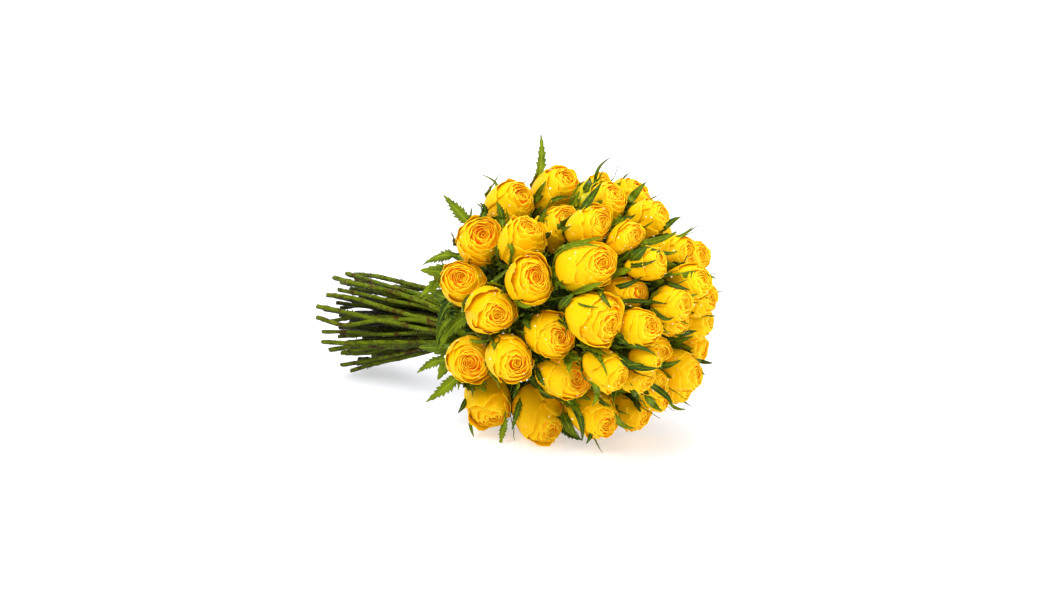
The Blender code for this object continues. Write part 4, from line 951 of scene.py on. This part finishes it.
def make_roses(middles, ways, sizes):
    """Each bloom in its place, and the hips and sepals of all of them.

    A bloom's innermost ring has random draws of its own.  Gives back the petals'
    sheets for the water drops, and one search tree of the outer petals of all the
    blooms for the leaves.
    """
    walls = walls_between(middles, ways, sizes)
    calyx, drops, shells = Skin(), [], []
    for i, (middle, way, size) in enumerate(zip(middles, ways, sizes)):
        chance = np.random.default_rng(BLOOM_SEED + i)
        innermost = np.random.default_rng(INNERMOST_SEED + i)
        hidden = i >= len(SEEN_BLOOMS)
        mouth = MOUTHS.get(i, USUAL_MOUTH) * chance.uniform(0.94, 1.06)
        rings = PETAL_RINGS
        if i in CLOSED_BUDS:
            mouth, rings = BUD_MOUTH, PETAL_RINGS[1:3] + PETAL_RINGS[4:8:2]
        elif hidden:
            rings = PETAL_RINGS[:4] + PETAL_RINGS[5:10:2]
        right, over = frame_round(way, i * GOLDEN_TURN)
        turned = np.stack([right, over, way])
        foot = middle - way * BLOOM_LENGTH * size
        offset = chance.uniform(0.0006, 0.0022) * unit(chance.normal(size=2))
        tilt = 0.16 * chance.normal(size=2)
        stretch = STRETCHES.get(i, 1.0)
        full = FULLNESS * (0.5 + 0.5 * stretch)

        def placed(sheets):
            own = leaned(sheets, offset, tilt).reshape(-1, 3)
            return own * np.array([full, full, stretch]) @ turned * size + foot

        grids = [petal_ring(row, mouth, FLARES.get(i, 0.0),
                            innermost if row is PETAL_RINGS[-1] else chance) for row in rings]
        heart = heart_rings(mouth)
        points = np.concatenate([placed(sheets) for sheets, _ in grids] + [placed(heart)])
        sepals, sepal_values = sepal_sheets(way, right, over, chance)
        points, sepal_points = pressed(points, placed(sepals), walls[i])
        sepal_points[:, 2] = np.maximum(sepal_points[:, 2], SEPAL_FLOOR)
        skin, start = Skin(), 0
        for ring, (sheets, values) in enumerate(grids):
            count = sheets.size // 3
            own = points[start:start + count].reshape(sheets.shape)
            start += count
            values["depth"] = ring / (len(rings) - 1.0)
            values["green"] = 0.75 if i in GREENISH_BLOOMS and ring == 0 else 0.0
            skin.add_blades(own, PETAL_THICKNESS, values)
            if ring < OUTER_RINGS:
                shells.append(own)
            if ring < OUTER_RINGS and not hidden:
                drops.append(own)
        skin.add_tube(points[start:].reshape(heart.shape),
                      {"along": 0.90, "across": 0.0, "tone": 0.5, "depth": 1.0, "green": 0.0})
        rose = skin.mesh("rose_%02d" % (i + 1), PETAL)
        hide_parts("bloom_%02d" % (i + 1))
        calyx.add_blades(sepal_points.reshape(sepals.shape), SEPAL_THICKNESS, sepal_values)
        calyx.add_tube(hip_rings(foot, way, right, over, size),
                       {"along": 0.2, "across": 0.3, "tone": 0.6})
    sepals = calyx.mesh("sepals_and_hips", SEPAL)
    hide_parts("stems")
    return drops, search_tree(shells)


def swept(path, radius, sides, roll=0.0):
    """Rings round a path: each ring is square to it, and carried on without twisting."""
    tangent = unit(np.gradient(path, axis=0))
    normals = [unit(np.cross(tangent[0], (0.31, 0.52, 0.79)))]
    for way in tangent[1:]:
        last = normals[-1]
        normals.append(unit(last - way * (last @ way)))
    normals = np.array(normals)
    ring = spoke(turns(sides) + roll, normals[:, None], np.cross(tangent, normals)[:, None])
    return path[:, None] + np.asarray(radius)[..., None] * ring


def smooth_path(knots, steps=SPAN_STEPS):
    """A Catmull-Rom curve: each span is a cubic through its ends, led by its neighbours."""
    knots = np.array([2.0 * knots[0] - knots[1], *knots, 2.0 * knots[-1] - knots[-2]])
    t = np.linspace(0.0, 1.0, steps, endpoint=False)[:, None]
    spans = []
    for a, b, c, d in zip(knots, knots[1:], knots[2:], knots[3:]):
        spans.append(0.5 * (2.0 * b + (c - a) * t + (2.0 * a - 5.0 * b + 4.0 * c - d) * t ** 2
                            + (3.0 * b - a - 3.0 * c + d) * t ** 3))
    return np.concatenate(spans + [knots[-2][None]])


def packed_disc(count, wanted):
    """Points of a unit disc, near the wanted ones and evenly apart.

    Two points push each other apart while they are nearer than the width of equal
    round spots that fill 4/5 of the disc.
    """
    spots, filled, packing_steps = wanted.copy(), 0.80, 400
    apart = 2.0 * math.sqrt(filled / count)
    for _ in range(packing_steps):
        gap = spots[:, None] - spots
        distance = np.linalg.norm(gap, axis=2) + np.eye(count)
        push = np.maximum(apart - distance, 0.0) * (1.0 - np.eye(count))
        spots = spots + (gap / distance[:, :, None] * push[:, :, None]).sum(axis=1) * 0.4
        far = np.linalg.norm(spots, axis=1)
        spots *= np.minimum(1.0, 1.0 / far)[:, None]
    return spots


def pushed_out(points, tree, clearance):
    """Moves each point that is inside a bloom, or too near one, off its surface."""
    search_radius = 0.02
    moved = points.copy()
    for k, point in enumerate(points):
        place, normal, _, _ = tree.find_nearest(Vector(point), search_radius)
        if place is not None and (point - np.array(place)) @ np.array(normal) < clearance:
            moved[k] = np.array(place) + clearance * np.array(normal)
    return moved


def stem_paths(feet, ways, tree):
    """The curve of each stem, from its cut end through the binding to its bloom.

    In the bundle the stems are packed in the order of their blooms, twisted from the
    binding to the cut.  The cut's slant and raggedness make some shorter.
    """
    off = (feet - BINDING) @ DOME_FRAME.T
    splay = np.arctan2(np.linalg.norm(off[:, 1:], axis=1), off[:, 0])
    rank = np.empty(STEM_COUNT)
    rank[np.argsort(splay)] = np.arange(STEM_COUNT)
    wanted = unit(off[:, 1:]) * np.sqrt((rank + 0.5) / STEM_COUNT)[:, None]
    spots = packed_disc(STEM_COUNT, wanted)
    turn = np.array([[math.cos(STEM_TWIST), math.sin(STEM_TWIST)],
                     [-math.sin(STEM_TWIST), math.cos(STEM_TWIST)]])
    ragged = np.random.default_rng(RAGGED_SEED).uniform(-1.0, 1.0, STEM_COUNT) * CUT_RAGGEDNESS
    chance = np.random.default_rng(PATH_SEED)
    paths = []
    for spot, shift, foot, way in zip(spots, ragged, feet, ways):
        cut_spot = CUT_SPREAD * (spot @ turn)
        shorter = shift - CUT_SLANT * cut_spot[0]
        cut = CUT_MIDDLE + cut_spot[0] * SIDE + cut_spot[1] * OVER + shorter * AXIS
        tied = BINDING + BINDING_RADIUS * (spot[0] * SIDE + spot[1] * OVER)
        hip = foot - 0.010 * way
        bend = foot - 0.034 * way
        bend = 0.75 * bend + 0.25 * (tied + 0.65 * (hip - tied))
        between = [cut + s * (tied - cut) + chance.normal(0.0, 0.0020, 3)
                   for s in (0.22, 0.48, 0.74)]
        path = smooth_path([cut, *between, tied - 0.012 * AXIS, tied, 0.5 * (tied + bend),
                            bend, hip, foot])
        path[PUSHED_OUT] = pushed_out(path[PUSHED_OUT], tree, STEM_RADIUS + 0.0004)
        path[:, 2] = np.maximum(path[:, 2], STEM_RADIUS)
        paths.append(path)
    return paths


def make_stems(paths):
    """Stems with swollen joints, thorns, a slanting cut and a pale cut face.

    A joint swells the girth by a bell curve.  Painted shade makes the stems darker
    underneath and the nearer they lie to the middle of the bundle.
    """
    skin = Skin()
    bundle = BINDING - CUT_MIDDLE
    turn = turns(STEM_SIDES)
    for i, path in enumerate(paths):
        chance = np.random.default_rng(STEM_SEED + i)
        steps = np.linalg.norm(np.diff(path, axis=0), axis=1)
        reach = np.concatenate([[0.0], np.cumsum(steps)])
        dense = np.linspace(0.0, reach[-1], STEM_STATIONS)
        path = np.stack([np.interp(dense, reach, line) for line in path.T], axis=1)
        swelling = np.zeros(STEM_STATIONS)
        spot = chance.uniform(0.006, 0.040)
        while spot < reach[-1] - 0.03:
            swelling += chance.uniform(0.4, 1.0) * np.exp(-((dense - spot) / 0.0026) ** 2)
            spot += chance.uniform(0.026, 0.052)
        girth = STEM_RADIUS * chance.uniform(0.76, 0.98) * (1.0 + 0.38 * swelling)
        girth = girth * (1.0 + 0.04 * np.sin(dense * 190.0 + i))
        lobes = 1.0 + 0.05 * np.cos(3.0 * turn + i)
        lobes = lobes + 0.05 * chance.normal(size=(STEM_STATIONS, STEM_SIDES))
        rings = swept(path, girth[:, None] * lobes, STEM_SIDES, i)
        slant = chance.uniform(-0.8, 0.8) * STEM_RADIUS
        rings[0] += (slant * np.cos(turn + i))[:, None] * unit(path[1] - path[0])
        rings[0, :, 2] = np.maximum(rings[0, :, 2], CUT_FLOOR)
        rim = rings[0] * 0.97 + 0.03 * rings[0].mean(axis=0)
        rings = np.concatenate([[rim], rings])
        rings[..., 2] = np.maximum(rings[..., 2], STEM_FLOOR)
        cut = np.zeros((len(rings), 1))
        cut[0] = 1.0
        swell = np.concatenate([[0.0], np.clip(swelling, 0.0, 1.0)])[:, None]
        along = np.clip((rings - CUT_MIDDLE) @ bundle / (bundle @ bundle), 0.0, 1.3)[..., None]
        from_middle = np.linalg.norm(rings - CUT_MIDDLE - along * bundle, axis=-1)
        outside = CUT_SPREAD + (BINDING_RADIUS - CUT_SPREAD) * along[..., 0]
        # Painted shade: darker the nearer a stem lies to the middle of the bundle, and on its
        # underside
        packed = 1.0 - ramp(from_middle / outside, 0.45, 0.92)
        below = (rings.mean(axis=1)[:, None, 2] - rings[..., 2]) / STEM_RADIUS
        shade = np.maximum(0.9 * packed, 0.8 * ramp(below, -0.2, 0.9)) * (1.0 - cut)
        skin.add_tube(rings[::-1], {"cut": cut[::-1], "swelling": swell[::-1],
                                    "shade": shade[::-1], "tone": chance.uniform()})
        for _ in range(THORN_TRIES):
            k = chance.integers(4, 34)
            out = unit(rings[k, chance.integers(STEM_SIDES)] - rings[k].mean(axis=0))
            way = unit(path[k + 1] - path[k])
            tip = path[k] + (girth[k] + 0.0022) * out - 0.0008 * way
            if tip[2] < 0.001:  # it would go into the floor
                continue
            line = np.array([path[k] + 0.8 * girth[k] * out,
                             path[k] + (girth[k] + 0.0008) * out, tip])
            # Thorns get a fixed share of the painted shade
            skin.add_tube(swept(line, THORN_RADII, 5),
                          {"cut": 0.0, "swelling": 1.0, "shade": 0.3, "tone": 0.5})
    stems = skin.mesh("rose_stems", STEM)
    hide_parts("stems")


def leaf_sheet(path, facing, half_width, teeth, rows, columns, bite):
    """One leaf along a path, and its values: a blade whose edges have forward teeth.

    Half the width is a sine of the way along, raised to a power, so that the leaf has
    a round foot and a long tip.  A tooth widens it steadily and then drops at once, by
    the bite.  The midrib lies lower than the edges, which wave.
    """
    v = np.linspace(0.0, 1.0, rows)
    u = np.linspace(-1.0, 1.0, columns)
    stations = np.linspace(0.0, 1.0, len(path))
    spine = np.stack([np.interp(v, stations, line) for line in path.T], axis=1)[:, None]
    v = v[:, None]
    tangent = unit(np.gradient(spine, axis=0))
    side = unit(np.cross(tangent, facing))
    up = np.cross(side, tangent)
    half = half_width * np.sin(np.pi * v ** 0.72) ** 0.85 + 0.00012
    saw = (v * teeth) % 1.0
    notch = 1.0 - (bite * (1.0 - saw) ** 0.8 if teeth else 0.0)
    edge = np.abs(u) ** 3
    across = u * (half * (1.0 + (notch - 1.0) * edge))
    lift = 0.22 * half * np.abs(u)
    waves = 0.10 * half_width * np.abs(u) * np.sin(9.0 * v + 3.0 * u)
    ahead = 0.35 * half * edge * saw
    sheet = (spine + across[..., None] * side + (lift + waves)[..., None] * up
             + ahead[..., None] * tangent)
    return sheet, {"along": v, "across": u}


class Foliage(Skin):
    """Leaves with their stalks, kept off the blooms of a search tree and off the floor."""

    def __init__(self, tree, roots):
        super().__init__()
        self.tree, self.roots = tree, roots

    def add_leaf(self, path, facing, half_width, teeth, tone, way=None,
                 clearance=LEAF_CLEARANCE, rows=33, columns=7, bite=0.55):
        """One leaf along a path, and its stalk, which starts at the nearest root.

        The stalk ends a little way into the leaf, along `way` or along the path.
        """
        sheet, values = leaf_sheet(path, facing, half_width, teeth, rows, columns, bite)
        if clearance:
            sheet = pushed_out(sheet.reshape(-1, 3), self.tree, clearance).reshape(sheet.shape)
        sheet[..., 2] = np.maximum(sheet[..., 2], LEAF_FLOOR)
        self.add_blades(sheet[None], LEAF_THICKNESS, {**values, "tone": tone})
        base = path[0]
        way = unit(path[1] - base) if way is None else way
        root = self.roots[np.argmin(np.linalg.norm(self.roots - base, axis=1))]
        line = [root, 0.5 * (root + base) - 0.004 * way, base, base + 0.004 * way]
        self.add_tube(swept(smooth_path(line, 3), STALK_RADIUS, 4),
                      {"along": 0.1, "across": 0.0, "tone": 0.5})


def curve_through(row):
    """A curve of pixels: the square curve that a foot, a middle and a tip lead."""
    foot, middle, tip = (np.array(row[k:k + 2], dtype=float) for k in (0, 2, 4))
    v = np.linspace(0.0, 1.0, 17)[:, None]
    handle = 2.0 * middle - 0.5 * (foot + tip)
    return (1 - v) ** 2 * foot + 2 * v * (1 - v) * handle + v ** 2 * tip


def draped_path(pixels, half_width, tree):
    """A path in sight along pixels, laid over the blooms, its foot sunk between them.

    Its depth at each place is the least that any line of sight near it meets, within
    its width and a little ahead and behind, and is then smoothed.  Gives back None
    where no line of sight meets a bloom.
    """
    sight_limit = 2.0
    ahead = unit(np.gradient(pixels, axis=0))
    aside = np.stack([-ahead[:, 1], ahead[:, 0]], axis=1)
    depth = np.full(len(pixels), np.nan)
    for k, pixel in enumerate(pixels):
        for off in (-half_width, 0.0, half_width):
            ray = unit(sight(pixel + off * aside[k]))
            place, _, _, distance = tree.ray_cast(Vector(VIEWPOINT), Vector(ray), sight_limit)
            if place is not None and not depth[k] < distance:
                depth[k] = distance
    known = ~np.isnan(depth)
    if not known.any():
        return None
    stations = np.arange(len(pixels))
    depth = np.interp(stations, stations[known], depth[known])
    padded = np.pad(depth, 1, mode="edge")
    depth = np.minimum(depth, np.minimum(padded[:-2], padded[2:]))
    for _ in range(5):
        smooth = np.convolve(np.pad(depth, 1, mode="edge"), (0.25, 0.5, 0.25), "valid")
        depth = np.minimum(smooth, depth + 0.002)
    v = np.linspace(0.0, 1.0, len(pixels))
    depth = np.minimum(depth, depth.min() + 0.022) - 0.0012 + 0.010 * (1.0 - v) ** 4
    return VIEWPOINT + depth[:, None] * unit([sight(p) for p in pixels])


def pixel_size(path):
    """How many metres a pixel covers at the middle of a path."""
    return np.linalg.norm(path[len(path) // 2] - VIEWPOINT) / FOCAL_PIXELS


def leaves_in_sight(skin):
    """The leaves and long sepals that the photograph shows, row by row.

    A sprig that lies over no bloom makes no leaf.  An outer leaf bends away from the
    viewer by the square of the way along it.
    """
    chance = np.random.default_rng(SIGHT_SEED)
    for row in SPRIGS:
        path, tone = draped_path(curve_through(row), row[6], skin.tree), chance.uniform(0.0, 0.65)
        if path is not None:
            half = SPRIG_WIDTH * row[6] * pixel_size(path)
            skin.add_leaf(path, TO_VIEWER, half, SPRIG_TEETH * row[7], tone, clearance=None)
    for row in OUTER_LEAVES:
        pixels = curve_through(row)
        v = np.linspace(0.0, 1.0, len(pixels))
        far = VIEW_DISTANCE - row[7] + 0.008 * v ** 2
        path = VIEWPOINT + far[:, None] * np.array([sight(p) for p in pixels])
        facing = unit(TO_VIEWER + 0.4 * chance.normal(size=3))
        teeth = OUTER_TEETH if row[6] > NARROWEST_TOOTHED else 0
        skin.add_leaf(path, facing, row[6] * pixel_size(path), teeth, row[8])
    return skin


def leaves_between(skin, middles, ways, sizes):
    """Leaves squeezed between each two blooms that are neighbours.

    A leaf starts below the two, rises along the middle of their two ways and ends a
    little below their lips.  Its blade lies in the wall between them.
    """
    chance = np.random.default_rng(BETWEEN_SEED)
    overlap, apart, _, _ = closest_balls(middles, ways, sizes, 1.0)
    for i, j in zip(*np.nonzero(np.triu(overlap > -0.016, 1))):
        way = unit(ways[i] + ways[j])
        side = unit(np.cross(way, apart[i, j]))
        middle = 0.5 * (middles[i] + middles[j])
        for _ in range(2):
            aside = chance.uniform(-0.016, 0.016)
            base = middle - 0.050 * way + 0.4 * aside * side
            tip = middle - chance.uniform(0.002, 0.018) * way + aside * side
            tip = tip + 0.004 * chance.normal(size=3)
            if base[2] < 0.010 or tip[2] < 0.006:  # too near the floor
                continue
            path = smooth_path([base, 0.5 * (base + tip) + 0.003 * chance.normal(size=3), tip])
            skin.add_leaf(path, apart[i, j], chance.uniform(0.0070, 0.0120), 6,
                          chance.uniform(0.0, 0.75), way, TUCKED_CLEARANCE, 19, 5)
    return skin


def leaves_within(skin):
    """Broad leaves inside the head, dark in tone as painted shade, and leaves that hang back over
    the neck.

    Inside, the leaves lie flat on a smaller dome, in a spiral of equal steps.  At the
    neck they start in a ring round the stems and bend out and back by a quarter turn.
    """
    chance = np.random.default_rng(WITHIN_SEED)
    for k in range(DOME_LEAVES):
        along = 1.0 - 1.75 * (k + 0.5) / DOME_LEAVES
        way = along * AXIS + math.sqrt(1.0 - along * along) * spoke(k * GOLDEN_TURN, SIDE, OVER)
        level = chance.uniform(0.50, 0.62)
        base = HEART + DOME_FRAME.T @ (DOME_FRAME @ way * DOME_SIZES) * level
        side = unit(np.cross(way, chance.normal(size=3)))
        tip = base + chance.uniform(0.034, 0.050) * side + 0.008 * way
        if min(base[2], tip[2]) < 0.008:  # too near the floor
            continue
        path = smooth_path([base, 0.5 * (base + tip) + 0.004 * way, tip])
        # The tone is kept dark as painted shade deep in the head
        skin.add_leaf(path, way, chance.uniform(0.011, 0.015), 4, chance.uniform(0.0, 0.25),
                      side, TUCKED_CLEARANCE, 13, 5)
    for k in range(NECK_LEAVES):
        out = spoke(k * GOLDEN_TURN, SIDE, OVER)
        base = BINDING + chance.uniform(0.020, 0.062) * AXIS + chance.uniform(0.026, 0.040) * out
        length = chance.uniform(0.040, 0.060)
        back = chance.uniform(0.2, 1.0)
        middle = base + 0.5 * length * out
        tip = middle + 0.6 * length * unit(out * (1.0 - back) - back * AXIS
                                           + 0.3 * chance.normal(size=3))
        if min(middle[2], tip[2]) < 0.006:  # too near the floor
            continue
        facing = unit(out + 0.5 * AXIS + 0.4 * chance.normal(size=3))
        skin.add_leaf(smooth_path([base, middle, tip]), facing, chance.uniform(0.0110, 0.0160),
                      8, chance.uniform(0.0, 0.7), out, rows=25, columns=5, bite=0.28)
    return skin


def make_leaves(middles, ways, sizes, tree, paths):
    """The three pieces of leaves, whose stalks start on the stems inside the head."""
    roots = np.concatenate([path[STALK_ROOTS] for path in paths])
    for name, made in (
            ("leaves_in_sight", leaves_in_sight(Foliage(tree, roots))),
            ("leaves_between", leaves_between(Foliage(tree, roots), middles, ways, sizes)),
            ("leaves_within", leaves_within(Foliage(tree, roots)))):
        leaves = made.mesh(name, LEAF)
        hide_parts("stems")


def make_tie():
    """Twine wound five times round the binding: a tube round a tube-shaped winding."""
    skin = Skin()
    windings, thickness, breadth, stations, sides = 5, 0.0014, 0.0066, 400, 8
    v = np.linspace(0.0, 1.0, stations)[:, None]
    angle = 2.0 * np.pi * windings * v
    radius = TIE_RADIUS - 0.0004 + 0.0006 * np.sin(3.0 * angle)
    path = (BINDING - TIE_SETBACK * AXIS + radius * np.cos(angle) * SIDE
            + radius * np.sin(angle) * OVER + breadth * (v - 0.5) * AXIS)
    skin.add_tube(swept(path, 0.5 * thickness, sides),
                  {"along": v, "across": np.linspace(0.0, 1.0, sides)})
    tie = skin.mesh("twine_tie", TWINE)
    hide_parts("tie")


def make_drops(sheets):
    """Water drops on the petals: low domes, closed underneath, on random points."""
    skin = Skin()
    chance = np.random.default_rng(DROP_SEED)
    lift = np.array([0.0, 0.45, 1.0])[:, None] * 0.5 * np.pi
    for own in sheets:
        petals, rows, columns, _ = own.shape
        normals = grid_normals(own)
        for _ in range(DROPS_TO_A_RING):
            k = (chance.integers(petals), chance.integers(rows // 3, rows - 1),
                 chance.integers(1, columns - 1))
            size = DROP_SIZE * math.exp(0.32 * chance.normal())
            ring = spoke(turns(6), *frame_round(normals[k], 0.0))
            rings = (own[k] + size * np.cos(lift * 0.98)[..., None] * ring
                     + (0.0001 + 0.75 * size * np.sin(lift))[..., None] * normals[k])
            skin.add_tube(rings, {})
    drops = skin.mesh("water_drops", WATER)


def make_stage():
    """A white floor that curves up behind, soft light from all round, and the camera."""
    v = np.linspace(0.0, 1.0, 40)[:, None]
    u = np.linspace(-9.0, 9.0, 3)
    bend = np.clip((v - 0.55) / 0.25, 0.0, 1.0) * 0.5 * np.pi
    run = -9.0 + 13.5 * np.minimum(v / 0.55, 1.0) + 1.2 * np.sin(bend)
    rise = 1.2 * (1.0 - np.cos(bend)) + 3.0 * np.clip((v - 0.80) / 0.20, 0.0, 1.0)
    away = unit(TO_VIEWER * (-1.0, -1.0, 0.0))
    points = u[:, None] * VIEW_RIGHT + run[..., None] * away + rise[..., None] * UP
    quads = grid_quads(np.arange(points.size // 3).reshape(points.shape[:2]))
    mesh = bpy.data.meshes.new("studio_floor")
    mesh.from_pydata(points.reshape(-1, 3).tolist(), [], quads.tolist())
    mesh.shade_smooth()
    paper, tree, shader = new_finish("studio_paper")
    reach = tree.nodes.new("ShaderNodeVectorMath")
    reach.operation = "LENGTH"
    fed(tree, reach, {0: object_place(tree)})
    near, far = (0.43, 0.43, 0.43), (0.75, 0.75, 0.75)
    fed(tree, shader, {
        "Base Color": (0.69, 0.70, 0.75), "Roughness": 0.8, "Specular IOR Level": 0.1,
        "Emission Color": mixed(tree, near, far, mapped(tree, reach.outputs["Value"], 0.5, 2.2)),
        "Emission Strength": 1.0})
    mesh.materials.append(paper)
    floor = in_scene("studio_floor", mesh)

    scene = bpy.context.scene
    scene.world = bpy.data.worlds.new("studio_air")
    scene.world.use_nodes = True
    air = scene.world.node_tree
    fed(air, air.nodes["Background"], {"Color": (1.0, 1.0, 1.0), "Strength": 0.62})

    target = HEART - BOX_MIDDLE
    for name, place, size, power in (
            ("key_light", 1.5 * TO_VIEWER - 0.9 * VIEW_RIGHT + 1.5 * VIEW_UP, 1.2, 34.0),
            ("fill_light", 1.2 * TO_VIEWER + 1.6 * VIEW_RIGHT + 0.1 * VIEW_UP, 1.6, 20.0),
            ("top_light", 1.9 * UP, 1.8, 22.0)):
        light = bpy.data.lights.new(name, "AREA")
        light.size = size
        light.energy = power
        lamp = in_scene(name, light)
        lamp.location = Vector(target + place)
        lamp.rotation_mode = "QUATERNION"
        lamp.rotation_quaternion = Vector(-place).to_track_quat("-Z", "Y")

    camera = bpy.data.cameras.new("camera")
    camera.sensor_width = 36.0
    camera.lens = camera.sensor_width * FOCAL_PIXELS / PICTURE_WIDTH
    stand = in_scene("camera", camera)
    axes = Matrix(np.stack([VIEW_RIGHT, VIEW_UP, TO_VIEWER], axis=1).tolist()).to_4x4()
    stand.matrix_world = Matrix.Translation(Vector(VIEWPOINT - BOX_MIDDLE)) @ axes
    scene.camera = stand
    scene.view_settings.view_transform = "Standard"
    scene.view_settings.look = "None"


middles, ways, sizes = settled_blooms()
feet = middles - ways * (BLOOM_LENGTH * sizes)[:, None]
drop_sheets, bloom_tree = make_roses(middles, ways, sizes)
paths = stem_paths(feet, ways, bloom_tree)
make_stems(paths)
make_leaves(middles, ways, sizes, bloom_tree, paths)
make_tie()
make_drops(drop_sheets)
make_stage()
